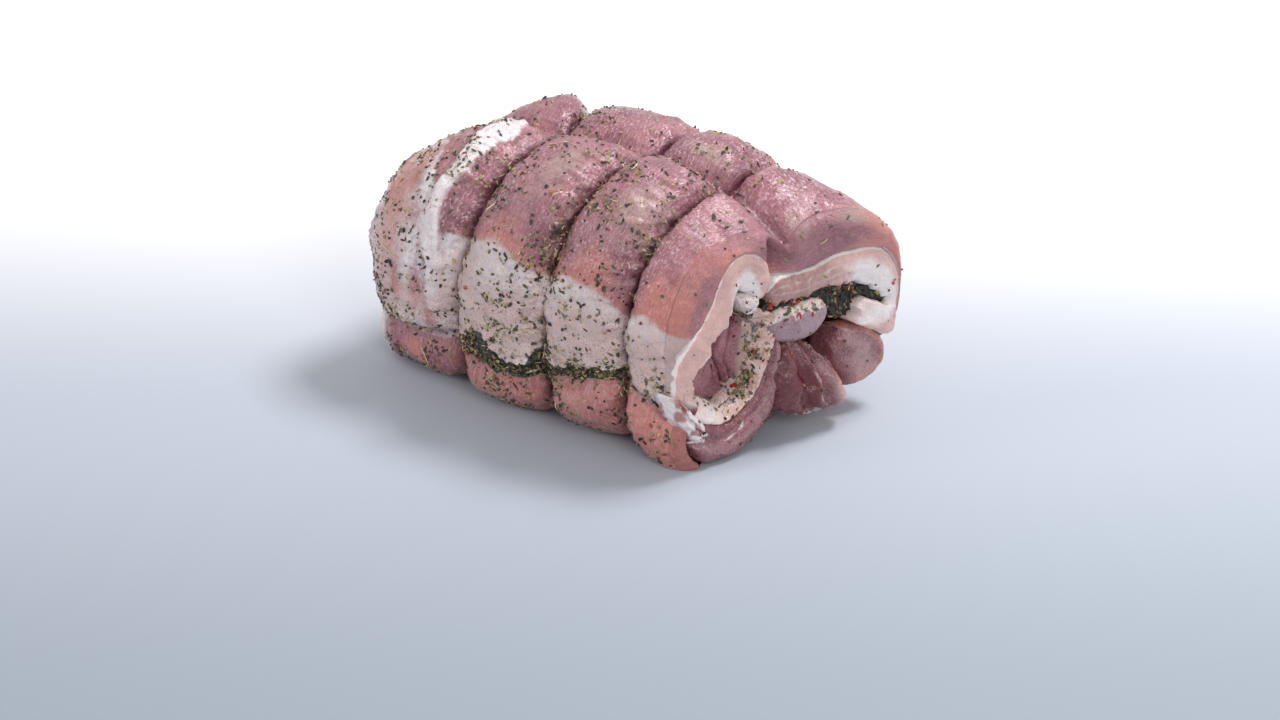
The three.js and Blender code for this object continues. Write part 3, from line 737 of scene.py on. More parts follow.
# The skin all round, and the folds of lean below the layers of the cut: redder and wetter, and darker,
# partly their own colour and partly painted shade of the low folds.
OUTER_PORK = RawPork("raw_pork_outer", border=0.75)
LOWER_LEAN = RawPork(
    "lower_lean_moist", grain=Grain.ACROSS, lean="#93575e", lean_dark="#69303d", lean_light_and_sheen="#bd9aa2",
    pale="#ad8c8c", salmon="#cf8068", deep="#7c2832", painted_glisten=0.12, roughness=0.3, coat=0.7, relief_mm=0.18,
)
# Belly fat cut across: off-white with see-through, peach-coloured parts where others have lean.
BELLY_FAT = RawPork(
    "cut_belly_fat", grain=Grain.ACROSS, deep="#94706a", lean="#e4b8ad", lean_dark="#cba09c",
    lean_light_and_sheen="#e6d0cc", pale="#d8b9b2", salmon="#d99b8e", fat="#efeae9", fat_shade="#dfd3d5",
    fat_blush="#dcb7ae", painted_glisten=0.06, roughness=0.36, relief_mm=0.13, border=0.95,
)
# Lean in the hollow, in shade and moist, and the greyer, paler tongue between the layers of filling.
INNER_LEAN = RawPork(
    "inner_lean_moist", grain=Grain.ACROSS, lean="#a0666e", lean_dark="#7c434f", lean_light_and_sheen="#c09aa1",
    pale="#b0988d", painted_glisten=0.1, roughness=0.32, coat=0.6, relief_mm=0.16,
)
TONGUE_LEAN = RawPork(
    "tongue_lean_moist", grain=Grain.ACROSS, lean="#a58c95", lean_dark="#92737f", lean_light_and_sheen="#bda9b0",
    pale="#b39ba1", painted_glisten=0.08, roughness=0.36, coat=0.5, relief_mm=0.14,
)
# The filling where it is packed: nearly black, with olive crumbs.
PACKED_HERBS = DryHerb("packed_herb_paste", dark="#0b0a08", light="#35321f", roughness=0.5, coat=0.3)


@dataclass(frozen=True)
class CottonTwine:
    """Twisted cotton twine, dull and soaked: one strand red, the other off-white, with fine yarn lines."""

    name: str = "twisted_cotton_twine"
    red: str = "#8e1f30"
    white: str = "#a98783"
    soaked: str = "#8a4a4c"

    def build(self) -> Material:
        """Make the material, choosing red or white by each strand's `shade` field."""
        material, tree, where = new_material(self.name)
        yarn = noise_of(tree, where, 0.35, 3)
        colour = mixed(tree, point_field(tree, "shade"), self.red, self.white)
        colour = mixed(tree, ranged(tree, yarn, 0.5, 0.8, 0, 0.4), colour, self.soaked)
        return principled(material, {
            "Base Color": colour,
            "Roughness": 0.7,
            "Normal": bumped(tree, yarn, 0.12, 0.8),
            "Sheen Weight": 0.2,
        })


@dataclass(frozen=True)
class PaintedLightWorktop:
    """Plain pale worktop, honed and nearly dull, with painted light: cool grey in front of the roast as
    painted shade, white well behind it as painted light.
    """

    name: str = "honed_worktop_painted_light"
    # Painted shade near the camera, then a middle grey, and painted light well behind.
    near: str = "#9aa4af"
    middle: str = "#bac2cd"
    far: str = "#ffffff"
    # The camera's turn round the vertical, and the distances from the roast where the painted shade and light
    # blend (m).
    view_turn_deg: float = 38.0
    near_blend: tuple[float, float] = (-0.3, 0.02)
    far_blend: tuple[float, float] = (-0.03, 0.27)

    def build(self) -> Material:
        """Make the material; its painted shade and light follow the distance along the camera's level
        direction.
        """
        material, tree, where = new_material(self.name)
        turned = add_node(tree, "ShaderNodeMapping",
                          {"Vector": where, "Rotation": (0, 0, -np.radians(self.view_turn_deg))})
        away = add_node(tree, "ShaderNodeSeparateXYZ", {0: turned.outputs["Vector"]}).outputs["Y"]
        colour = mixed(tree, ranged(tree, away, *self.near_blend), self.near, self.middle)
        colour = mixed(tree, ranged(tree, away, *self.far_blend), colour, self.far)
        return principled(material, {"Base Color": colour, "Roughness": 0.6, "Specular IOR Level": 0.3})


# ---- the outer skin


@dataclass
class SkinPainting:
    """Where fat, salmon edges, painted shade in the folds, pale sinew, painted highlight and herbs lie on the
    roll's side, from 0 to 1.
    """

    form: RollForm
    # The line where the lean ends and the belly fat begins, on the front.
    fat_rows: Floats = (-97, -80, -70, -62, -55, -42, -30, -16, -9, 3, 20, 30, 36, 46, 55, 70, 80)
    fat_angles: Floats = (
        118, 122, 146, 160, 157, 156, 156, 158, 160, 159.5, 159.5, 161.5, 168, 166, 164, 168.5, 172,
    )
    # The white ridge that goes over the far end's shoulder: row, angle.
    ridge: tuple[tuple[float, float], ...] = (
        (-69, 96), (-66, 107), (-66, 122), (-66.5, 134), (-68, 143), (-67.5, 150), (-65.5, 160),
        (-62, 172), (-61, 190),
    )
    ridge_width: float = 2.6
    salmon_spots: Patches = (
        (58, 155, 9, 8, 0.95), (73, 160, 7, 9, 0.85), (72, 140, 5, 16, 0.5), (20, 151, 13, 7, 0.6),
        (-30, 149, 14, 6, 0.5), (74, 224, 12, 18, 0.8), (-91, 146, 6, 26, 1), (-95, 192, 5, 20, 0.9),
        (-76, 214, 8, 4, 0.8), (-66, 90, 6, 7, 0.8), (79, 10, 6, 44, 0.95), (46, 84, 10, 8, 0.3),
    )
    # Warmer, beige fat low on the front, where the layers of the belly show through.
    warm_spots: Patches = (
        (-30, 186, 15, 10, 0.8), (-13, 180, 8, 9, 0.75), (22, 178, 14, 9, 0.75), (64, 190, 12, 14, 0.8),
        (8, 186, 10, 9, 0.7), (-46, 176, 6, 18, 0.6), (-72, 192, 14, 10, 0.75), (46, 186, 8, 12, 0.6),
        (-84, 150, 11, 40, 0.75),
    )
    pale_spots: Patches = (
        (-22, 120, 12, 13, 0.75), (25, 128, 11, 13, 0.8), (-28, 138, 9, 8, 0.3), (20, 82, 13, 4, 0.9),
        (-80, 150, 12, 44, 0.3), (60, 128, 8, 11, 0.35), (79, 48, 4, 13, 1.1), (74, 82, 6, 5, 0.8),
        (-12, 96, 12, 6, 0.45), (-30, 213, 14, 5, 0.6), (14, 205, 14, 5, 0.6), (56, 205, 8, 6, 0.7),
    )
    purple_spots: Patches = (
        (-57, 128, 5, 20, 0.15), (66, 64, 12, 15, 0.55), (58, 112, 12, 10, 0.25), (-70, 64, 12, 20, 0.35),
        (34, 79, 8, 7, 0.5), (-76, 158, 5, 8, 0.4), (0, 76, 16, 8, 0.35), (-10, 148, 7, 10, 0.35),
    )
    # Where the rub has drifted together on the front.
    drifts: Patches = (
        (-12, 158, 6, 14, 1), (-26, 178, 14, 12, 0.5), (30, 150, 7, 12, 1.1), (38, 130, 6, 12, 0.6),
        (12, 132, 9, 8, 0.5), (-8, 176, 5, 14, 0.8), (-60, 96, 5, 6, 1.2), (20, 186, 14, 7, 0.4),
    )
    # Shoulders where lighter specks are painted into the colour as the highlight of fine moist beads.
    wet_spots: Patches = (
        (-42, 134, 8, 16, 1), (-2, 122, 9, 20, 1), (-45, 100, 9, 14, 0.7), (10, 83, 16, 8, 0.9),
        (44, 108, 10, 16, 0.9), (51, 146, 7, 14, 0.9), (-55, 149, 6, 10, 0.9), (60, 66, 14, 14, 1),
        (4, 142, 6, 9, 0.7), (20, 146, 14, 7, 0.6), (-35, 74, 18, 10, 0.8), (62, 100, 10, 10, 0.6),
        (-70, 160, 10, 20, 0.7), (34, 60, 16, 12, 0.8),
    )

    def fields(self, row: Array, angle: Array) -> dict[str, Array]:
        """Give every field on the side.

        Args:
            row: place along the roll (mm).
            angle: angle round it (degrees).

        Returns:
            The fields by name.
        """
        form = self.form
        smooth = form.smooth_radius(row, angle)
        arc = np.radians(smooth)
        below_edge = angle_between(angle, np.interp(row, self.fat_rows, self.fat_angles)) * arc
        below_edge = below_edge + 2.4 * lumps(plane(row, angle), 9, 87, 3)
        above_seam = angle_between(form.seam_angle(row), angle) * arc
        belly_fat = np.minimum(below_edge / 4, above_seam / 3 + 0.6) + 0.5
        # Past the far tie the belly fat is streaky.
        past_tie = smoothstep(form.ties[0].row - row, 2, 10)
        streaky = 0.55 + 0.28 * lumps(plane(row, angle * ARC * 0.35), 5, 811, 3)
        belly_fat = np.minimum(belly_fat, 1 + (streaky - 1) * past_tie)
        ridge = self.ridge_height(row, angle)
        fat = unit(np.maximum(belly_fat, 1.3 * ridge - 0.1))
        lean_side = np.clip(-below_edge, 0.0, None)
        border = 0.55 * np.exp(-((lean_side / 6) ** 2)) * smoothstep(angle, 100, 150) * (angle < 230)
        warm = soft_patches(self.warm_spots, row, angle) * (below_edge > 0)
        salmon = soft_patches(self.salmon_spots, row, angle) + border * (1 - past_tie) + warm + 0.3 * ridge
        pinch = form.pinch(row) / form.pinch_depth
        groove = form.groove(row, angle, smooth) / form.groove_depth[1]
        seam = bump(above_seam, 0, 3.2)
        # Painted shade: the deep field darkens the ties' pinches, the twine's bite lines, the fold along the
        # top and the seam, and purple spots add darker purple patches.
        lines = 0.6 * smoothstep(form.bite(row) / form.bite_depth, 0.25, 1)
        pinch_shade = 0.62 * smoothstep(pinch, 0.35, 1) * (1 - 0.85 * fat) * (1 - 0.5 * past_tie)
        deep = pinch_shade + 0.5 * smoothstep(groove, 0.55, 1) + lines
        deep = deep + 0.55 * seam + 0.6 * soft_patches(self.purple_spots, row, angle)
        return {
            "fat": fat,
            "salmon": unit(salmon),
            "deep": unit(deep),
            "pale": unit(soft_patches(self.pale_spots, row, angle)),
            "wet": unit(soft_patches(self.wet_spots, row, angle)),
            "herb": self.herb(row, angle, fat, pinch, above_seam),
        }

    def ridge_height(self, row: Array, angle: Array) -> Array:
        """Give the white ridge over the far shoulder, 1 along its path, with a scalloped outline."""
        path = [(at, turn * ARC) for at, turn in self.ridge]
        place = plane(row, angle * ARC)
        scallops = 0.42 * lattice_noise(place, 7.5, 907) + 0.15 * lattice_noise(place, 3, 911)
        # Towards the top the ridge widens into the cap of the shoulder.
        width = self.ridge_width * (1 + scallops) * (1 + bump(angle_between(angle, 108), 0, 12))
        return smoothstep(width - distance_to_path(row, angle * ARC, path), -2, 1.4)

    def herb(self, row: Array, angle: Array, fat: Array, pinch: Array, above_seam: Array) -> Array:
        """Give the herbs' density: most in the seam, then on the belly fat and in the folds, least behind."""
        front = smoothstep(angle, 74, 100) * falling(angle, 222, 250)
        base = 0.24 + 0.22 * front + 0.18 * fat * front * (row > -50)
        low_fat = 0.75 * smoothstep(-above_seam, -26, -3) * (above_seam > 0) * front
        folds = 0.75 * smoothstep(pinch, 0.35, 1) * smoothstep(angle, 120, 140) * front * (row > -45)
        drift = soft_patches(self.drifts, row, angle)
        here = smoothstep(row, -50, -41) * falling(row, 32, 40)
        tapering = np.interp(row, (-50, -38, -20, 5, 36), (4.5, 11, 9, 5.4, 4))
        tapering = tapering * (1 + 0.45 * lumps(plane(row, above_seam), 8, 613, 2))
        seam = 5.5 * bump((above_seam - 0.4 * tapering) / tapering, 0, 0.8) * here
        lip = 0.22 * (above_seam < 0) * (above_seam > -26)
        far_end = 0.1 * smoothstep(-row, 54, 62) * front
        bare_lobe = 1 - 0.7 * smoothstep(row, 44, 54) * (angle < 172)
        return (base + low_fat + folds + lip * front + far_end + drift) * bare_lobe + seam * front


@dataclass
class OuterSkin:
    """The outer lean with the belly fat on its front, from the domed far end to the rim of the cut."""

    form: RollForm
    columns: int = 460
    side_rows: int = 152
    dome_rows: int = 14
    face_rows: int = 40
    dome_reach: float = 7.2
    rim_lead: float = 1.5
    floor_depth: float = 16.0
    # How round the rim of the cut is, and how far it stands back, at each angle (degrees, mm).
    rim_angles: Floats = (-60, -45, -30, -20, 60, 85, 100, 130, 175, 205, 226, 234, 244, 300)
    rim_rounds: Floats = (6, 6, 5, 5, 5, 5.5, 8, 11, 10, 8, 7, 7, 6, 6)
    rim_backs: Floats = (15, 13, 6, 0, 0, 0, 0, 0, 0, 0, 0, 6, 15, 15)
    # The inner edge of the lean on the cut, from the front over the top to the back: y, z (mm).
    cut_edge: tuple[tuple[float, float], ...] = (
        (-59, 54), (-51, 61.5), (-47, 65.5), (-43.5, 71), (-41, 76), (-38.5, 82.5), (-34, 88.5),
        (-30.5, 90.6), (-26, 91), (-20, 89), (-15.7, 85.4), (-13, 81.5), (-10.5, 77.5), (-8, 75),
        (2.4, 74), (10, 74.5), (17, 76), (23, 76.8), (37, 75.3), (46, 73.2), (52, 67.3), (55.5, 60),
        (56.3, 50.3), (55.6, 42), (56, 36), (55, 31), (51.3, 25.5),
    )
    plain_rim: float = 6.0
    edge_round: float = 2.4
    # Rows before this one (mm) keep their places; those after it are drawn back from the rim.
    fixed_rows: float = 45.0

    def columns_of(self) -> Array:
        """Give the grid's angles from 270 round to 630, closer together over the front and the top."""
        fine = np.linspace(270, 630, 3601)
        seen = smoothstep(fine % 360, 40, 70) * falling(fine % 360, 225, 250)
        share = np.concatenate([[0], np.cumsum(1 + 0.9 * (seen[1:] + seen[:-1]) / 2)])
        return np.interp(np.linspace(0, share[-1], self.columns + 1)[:-1], share, fine)

    def rim_of(self, angle: Array) -> tuple[Array, Array]:
        """Give the rim's radius of rounding and its set-back at each angle."""
        at = angle_between(angle, 120) + 120
        return np.interp(at, self.rim_angles, self.rim_rounds), np.interp(at, self.rim_angles, self.rim_backs)

    def rows_of(self, angle: Array) -> Array:
        """Give the side's rows for each angle, closer at the ties, and ending where the rim starts."""
        last = self.form.cut_row + self.rim_lead - min(self.rim_rounds)
        fine = np.linspace(self.form.far_row, last, 4001)
        ties = [tie.row for tie in self.form.ties]
        weight = 1 + sum(1.3 * bump(fine, at, 7) + 2.5 * bump(fine, at, 2.2) for at in ties)
        share = np.concatenate([[0], np.cumsum(weight[1:])])
        even = np.interp(np.linspace(0, share[-1], self.side_rows), share, fine)
        rounded, back = self.rim_of(angle)
        ends = self.form.cut_row + self.rim_lead - rounded - back
        fixed = self.fixed_rows
        squeezed = np.clip(even[:, None] - fixed, 0.0, None) * (ends[None, :] - fixed) / (last - fixed)
        return np.minimum(even[:, None], fixed) + squeezed

    def inner_edge(self, angle: Array, rim: Array) -> tuple[Array, Array]:
        """Give the radius where the lean of the cut ends, and 1 where that is only a plain rim."""
        edge = np.asarray(self.cut_edge, float)
        turn = np.degrees(np.arctan2(edge[:, 1] - self.form.centre_height, edge[:, 0])) % 360
        turn = np.where(turn > 250, turn - 360, turn)
        reach = np.hypot(edge[:, 0], edge[:, 1] - self.form.centre_height)
        order = np.argsort(turn)
        at = angle_between(angle, 80) + 80
        inside = np.interp(at, turn[order], reach[order])
        first, last = turn.min(), turn.max()
        beyond = smoothstep(at, last - 2, last + 8) + 1 - smoothstep(at, first - 8, first + 2)
        beyond = unit(beyond)
        plain = rim - self.plain_rim
        return np.minimum(inside * (1 - beyond) + plain * beyond, rim - 2.5), beyond

    def face_relief(self, y: Array, z: Array, inside: Array, to_edge: Array,
                    angle: Array, start: Array) -> Array:
        """Give the lean's height past the plane of the cut.

        It rises from where the side ends along a quarter round, q = sqrt(1 - (1 - u)^2) with u the share of
        the rim's radius, then swells over the lobes, sinks between them and rounds off at the inner edge.
        """
        radius, back = self.rim_of(angle)
        left = 1 - unit(inside / radius)
        rise = np.sqrt(1 - left * left)
        swell = 2 * bump(y, -34, 16) * bump(z, 97, 12)
        swell = swell + 1.5 * bump(y, 40, 20) * bump(z, 84, 9)
        valley = 11 * bump(y, -8, 4.5) * smoothstep(z, 70, 82)
        plain = start * (1 - rise) + (self.rim_lead - back) * rise
        return plain + (swell - valley) * smoothstep(inside, 0, 8) - rounding(to_edge, self.edge_round)

    def _dome(self, angle: Array) -> tuple[Array, Array]:
        """Give the far dome's points, and how far out each of its rows lies.

        Its rows are the side's first one, drawn in by a superellipse: scale = (1 - out^2.4)^(1/2.4).
        """
        out = np.sin(np.linspace(1, 0, self.dome_rows + 1)[1:-1] * np.pi / 2)
        scale = (1 - out**2.4) ** (1 / 2.4)
        rows = np.full((len(out), len(angle)), self.form.far_row)
        dome = self.form.point(rows, angle[None, :], scale[:, None])
        dome[..., 0] -= self.dome_reach * out[:, None]
        return dome, out

    def _recess(self, angle: Array, edge: Array, last_rise: Array) -> tuple[Array, Array]:
        """Give the wall that goes down inside the lean of the cut, and the hidden floor that closes it."""
        centre = self.form.centre_height
        y, z = edge * np.cos(np.radians(angle)), np.maximum(centre + edge * np.sin(np.radians(angle)), 0.6)
        floor_rise = self.rim_lead - self.edge_round - self.floor_depth
        depths = np.array([0.35, 0.7, 1])[:, None]
        wall = self.form.on_cut(y, z, last_rise + (floor_rise - last_rise) * depths)
        shares = np.array([0.8, 0.55, 0.3, 0.1])[:, None]
        return wall, self.form.on_cut(y * shares, centre + (z - centre) * shares, floor_rise)

    def build(self, painting: SkinPainting) -> Shell:
        """Work out the closed skin.

        Args:
            painting: gives the fields on the side.

        Returns:
            The shell, with fields and a UV in millimetres that follows the meat's fibres.
        """
        form = self.form
        angle = self.columns_of()
        side = self.rows_of(angle)
        dome, out = self._dome(angle)
        body = form.point(side, angle[None, :])
        rim = form.radius(side[-1], angle)
        edge, plain = self.inner_edge(angle, rim)
        t = (np.arange(1, self.face_rows + 1) / self.face_rows)[:, None]
        reach = rim + (edge - rim) * t**1.6
        y = reach * np.cos(np.radians(angle))
        z = np.maximum(form.centre_height + reach * np.sin(np.radians(angle)), 0)
        start_rise = body[-1, :, 0] - form.cut_row - form.cut_slant * body[-1, :, 1]
        relief = self.face_relief(y, z, rim - reach, reach - edge, angle, start_rise)
        face = form.on_cut(y, z, relief)
        grid = np.vstack([dome, body, face, *self._recess(angle, edge, relief[-1])])
        # The same rows again as places along the roll, for the painting.
        rows = len(grid)
        start = len(out) + len(side)
        hidden_rows = rows - start - self.face_rows
        every = np.ones((1, len(angle)))
        turned = unit((rim - reach) / self.rim_of(angle)[0])
        row_of = np.vstack([(form.far_row - self.dome_reach * out)[:, None] * every, side,
                            side[-1] + (form.cut_row - side[-1]) * turned,
                            np.full((hidden_rows, 1), form.cut_row) * every])
        on_side = np.concatenate([np.ones(start), 1 - np.linspace(0, 1, self.face_rows) ** 0.5,
                                  np.zeros(hidden_rows)])
        turn = (angle % 360) * np.ones((rows, 1))
        painted = painting.fields(np.clip(row_of, form.far_row, form.cut_row), turn)
        self._fade_far_end(painted, row_of, grid)
        on_face, hidden = slice(start, start + self.face_rows), slice(start + self.face_rows, rows)
        self._paint_cut(painted, on_face, hidden, angle, rim - reach, reach - edge, plain)
        shell = closed_grid(self._roughen(grid, painted, on_side, painting.ridge_height(row_of, turn)))
        shell.points[-2, 0] = shell.points[: len(angle), 0].min()
        along = np.concatenate([row_of[:start, 0], form.cut_row + np.arange(rows - start) * 0.9])
        shell.quad_uv = self._grain((angle - 270) * ARC, along)
        for key, value in painted.items():
            shell.fields[key] = np.append(value.ravel(), [value[0].mean(), value[-1].mean()])
        return shell

    @staticmethod
    def _grain(arc: Array, along: Array) -> Array:
        """Give the UV of each quad's corners: arc round the roll and length along it, open at the belly."""
        closed = np.append(arc, 360.0 * ARC)
        row, column = np.meshgrid(np.arange(len(along) - 1), np.arange(len(arc)), indexing="ij")
        u = np.stack([closed[column], closed[column + 1], closed[column + 1], closed[column]], axis=-1)
        v = np.stack([along[row], along[row], along[row + 1], along[row + 1]], axis=-1)
        return np.stack([u, v], axis=-1).reshape(-1, 4, 2)

    def _fade_far_end(self, painted: dict[str, Array], row_of: Array, grid: Array) -> None:
        """Let the far end's fat and lean run into each other as a mottled, greyish pink."""
        on_dome = smoothstep(self.form.far_row + 6 - row_of, 0, 7)
        mottled = unit(0.42 + 0.5 * lumps(grid, 15, 821, 3))
        for key, value in (("fat", mottled), ("salmon", 0.35 * mottled), ("pale", 0.4), ("deep", 0.12)):
            painted[key] = painted[key] * (1 - on_dome) + value * on_dome

    @staticmethod
    def _paint_cut(painted: dict[str, Array], face: slice, hidden: slice, angle: Array,
                   inside: Array, to_edge: Array, plain: Array) -> None:
        """Paint the lean band of the cut: salmon at its rim and inner border, darker over its top,
        and painted shade on the set-back rim and the hidden floor.
        """
        turn = angle_between(angle, 0)
        away = smoothstep(inside, 3, 9)
        right = smoothstep(-np.abs(turn - 4), -62, -30)
        top = bump(turn, 62, 26)
        belly = smoothstep(angle, 526, 532) * falling(angle, 562, 568)
        behind = plain * (1 - belly)
        front_fat = painted["fat"][face] * (1 - away * (1 - belly))
        line = 0.9 * falling(to_edge, 0.4, 1.3) * (1 - plain)
        painted["fat"][face] = np.maximum(front_fat, line) * (1 - behind)
        rim_salmon = (0.2 + 0.9 * right) * (1 - smoothstep(inside, 3, 10) * (1 - 0.6 * right))
        border = 0.5 * falling(to_edge, 2, 7) * (1 - plain)
        salmon = np.maximum(painted["salmon"][face] * (1 - away), rim_salmon) + border
        painted["salmon"][face] = unit(salmon * (1 - 0.7 * top))
        # Painted shade on the plain rim where it stands back; the top of the band is darker too.
        deep = painted["deep"][face] * (1 - away) + 0.42 * top * away + 0.35 * behind
        painted["deep"][face] = unit(deep)
        painted["pale"][face] = painted["pale"][face] * (1 - away)
        painted["herb"][face] = 0.1
        # The painted highlight stays only near the rim of the cut.
        painted["wet"][face] *= 1 - away
        # The hidden floor gets full painted shade.
        for key, value in painted.items():
            value[hidden] = 1 if key == "deep" else 0

    def _roughen(self, grid: Array, painted: dict[str, Array], on_side: Array, ridge: Array) -> Array:
        """Raise uneven lumps along the normal: broad on lean, closer and higher on fat, crumbly in the seam.

        Args:
            grid: points of shape (rows, columns, 3).
            painted: the fields, which say how lumpy the meat is.
            on_side: 1 on the side, fading to 0 across the cut.
            ridge: the white ridge's height, from 0 to 1.

        Returns:
            The moved points.
        """
        across = np.roll(grid, -1, axis=1) - np.roll(grid, 1, axis=1)
        along = np.gradient(grid, axis=0)
        normal = np.cross(across, along)
        normal /= np.maximum(np.linalg.norm(normal, axis=-1, keepdims=True), 1e-9)
        fat = painted["fat"]
        broad = lumps(grid, 15, 11, 3)
        close = lumps(grid, 5, 23, 3)
        crumb = lumps(grid, 2.2, 37, 2)
        # Belly fat shows its layers as low ripples that run along the roll.
        ripples = lattice_noise(grid * np.array([0.16, 1, 1]), 2.6, 51) * fat
        crust = smoothstep(painted["herb"], 1.2, 2.4)
        ridged = ridge * (2.1 + 0.9 * lattice_noise(grid, 6, 73))
        # Near a tie the meat is gathered into short wrinkles that run along the roll.
        gathered = lumps(grid * np.array([0.22, 1, 1]), 3.4, 57, 2)
        pinch = self.form.pinch(grid[..., 0]) / self.form.pinch_depth
        gathers = 0.95 * smoothstep(pinch, 0.05, 0.5) * gathered
        height = 0.95 * broad + (0.32 + 0.35 * fat) * close + (0.16 + 0.12 * fat) * crumb + 0.34 * ripples
        crumbly = 1.1 + 1.3 * lattice_noise(grid, 2, 79) + 0.5 * lattice_noise(grid, 1, 80)
        height = height + ridged + gathers + crust * crumbly
        height = height * (0.35 + 0.65 * on_side[:, None])
        # A low, uneven fold borders the far end, and another the foot of the front lobe.
        far = 2 * bump(grid[..., 0], self.form.far_row + 3, 2.6) * smoothstep(-grid[..., 1], 20, 42)
        height = height + far * (0.7 + 0.9 * lattice_noise(grid, 6, 71)) * on_side[:, None]
        lip = bump(grid[..., 0], 56, 12) * smoothstep(-grid[..., 1], 30, 50)
        lip = lip * falling(grid[..., 2], 16, 26)
        height = height + 1.3 * lip * lattice_noise(grid, 7, 83) * on_side[:, None]
        height[grid[..., 2] < 1.2] = 0
        moved = grid + normal * height[..., None]
        moved[..., 2] = np.maximum(moved[..., 2], 0)
        return moved


# ---- layers that show on the cut


@dataclass
class CutLayer:
    """A layer that shows on the cut: a rounded slab between two edges, which goes back into the roll.

    At a share a across it, a point lies on the straight line from the outer to the inner edge, stands
    out by the two rises mixed, plus crown * 4a(1 - a), less a quarter round of radius `edge` near each
    side and each end.
    """

    form: RollForm
    edges: Edges
    along: int
    across: int
    edge: float
    crown: float
    depth: float
    end_round: float
    lump_mm: float
    lump_size: float
    seed: int
    ripple_mm: float = 0.0
    # Ridges and furrows that run along it: share across, height, width as a share.
    ridges: tuple[tuple[float, float, float], ...] = ()
    # How far the inner edge wanders in and out (mm).
    ragged: float = 0.0
    hair: float = 0.15

    def build(self) -> Shell:
        """Work out the closed slab.

        Returns:
            The shell, with the fields `outer`, 1 at the outer edge and 0 at the inner, `along`, from 0 to 1,
            and `sunk`, above 0 where the slab runs back into the roll.
        """
        path = smooth_path(np.array(self.edges), self.along)
        outer, inner = path[:, :3], path[:, 3:]
        middle = (outer + inner) / 2
        steps = np.linalg.norm(np.diff(middle[:, :2], axis=0), axis=1)
        run = np.concatenate([[0], np.cumsum(steps)])
        to_end = np.minimum(run, run[-1] - run)
        # Both ends close along a quarter round, and keep a hair of width so that no face is empty.
        narrow = np.sqrt(1 - (1 - unit((to_end + self.hair) / self.end_round)) ** 2)
        width = np.linalg.norm(outer[:, :2] - inner[:, :2], axis=1)
        share = (1 - np.cos(np.linspace(0, np.pi, self.across))) / 2
        share = 0.5 * share + 0.5 * np.linspace(0, 1, self.across)
        # Each row goes across the front, then down the inner wall, back underneath and up the outer wall.
        front = np.concatenate([share, np.full(2, 1.0), np.linspace(1.0, 0.0, 5), np.full(2, 0.0)])
        behind = np.concatenate([np.zeros(self.across), [0.3, 0.65], np.full(5, 1.0), [0.65, 0.3]])
        shown = behind == 0
        squeezed = 0.5 + (front - 0.5) * narrow[:, None]
        place = plane(run)
        wander = lattice_noise(place, 3.1, self.seed + 1) + 0.7 * lattice_noise(place, 1.2, self.seed + 2)
        wander = self.ragged * (wander / np.maximum(width, 1))[:, None]
        squeezed = squeezed * (1 + wander * smoothstep(squeezed, 0.5, 1))
        line = outer[:, None] + (inner - outer)[:, None] * squeezed[..., None]
        to_side = width[:, None] * narrow[:, None] * np.minimum(front, 1 - front)
        radius = np.minimum(self.edge, np.maximum(width * narrow * 0.48, 0.05))[:, None]
        drop = rounding(to_side, radius) + self.edge * (1 - narrow)[:, None]
        drop = np.where(shown, drop, self.edge)
        crown = self.crown * 4 * front * (1 - front)
        height = line[..., 2] + crown * shown - drop - behind * (self.depth - self.edge)
        for at, tall, wide in self.ridges:
            drift = 0.08 * lattice_noise(place, 9, self.seed + 3)
            height = height + tall * bump(front - drift[:, None], at, wide) * shown
        shell = closed_grid(self._roughen(self.form.on_cut(line[..., 0], line[..., 1], height), front, run))
        shell.face_out()
        shell.paint(
            outer=np.append(np.tile(1.0 - front, self.along), [0.5, 0.5]),
            sunk=np.append(np.tile(behind, self.along), [0.5, 0.5]),
            along=np.append(np.repeat(run / run[-1], len(front)), [0.0, 1.0]),
        )
        return shell

    def _roughen(self, grid: Array, front: Array, run: Array) -> Array:
        """Move the points by noise in all directions, and add thin ripples that follow the layer."""
        shifts = [lumps(grid, self.lump_size, 100 * self.seed + 7 * k, 3) for k in range(3)]
        moved = grid + self.lump_mm * np.stack(shifts, axis=-1)
        if self.ripple_mm:
            place = plane(run[:, None] * 0.08, front * 9)
            moved[..., 0] += self.ripple_mm * lattice_noise(place, 1, self.seed + 5)
        moved[..., 2] = np.maximum(moved[..., 2], 0.5)
        return moved


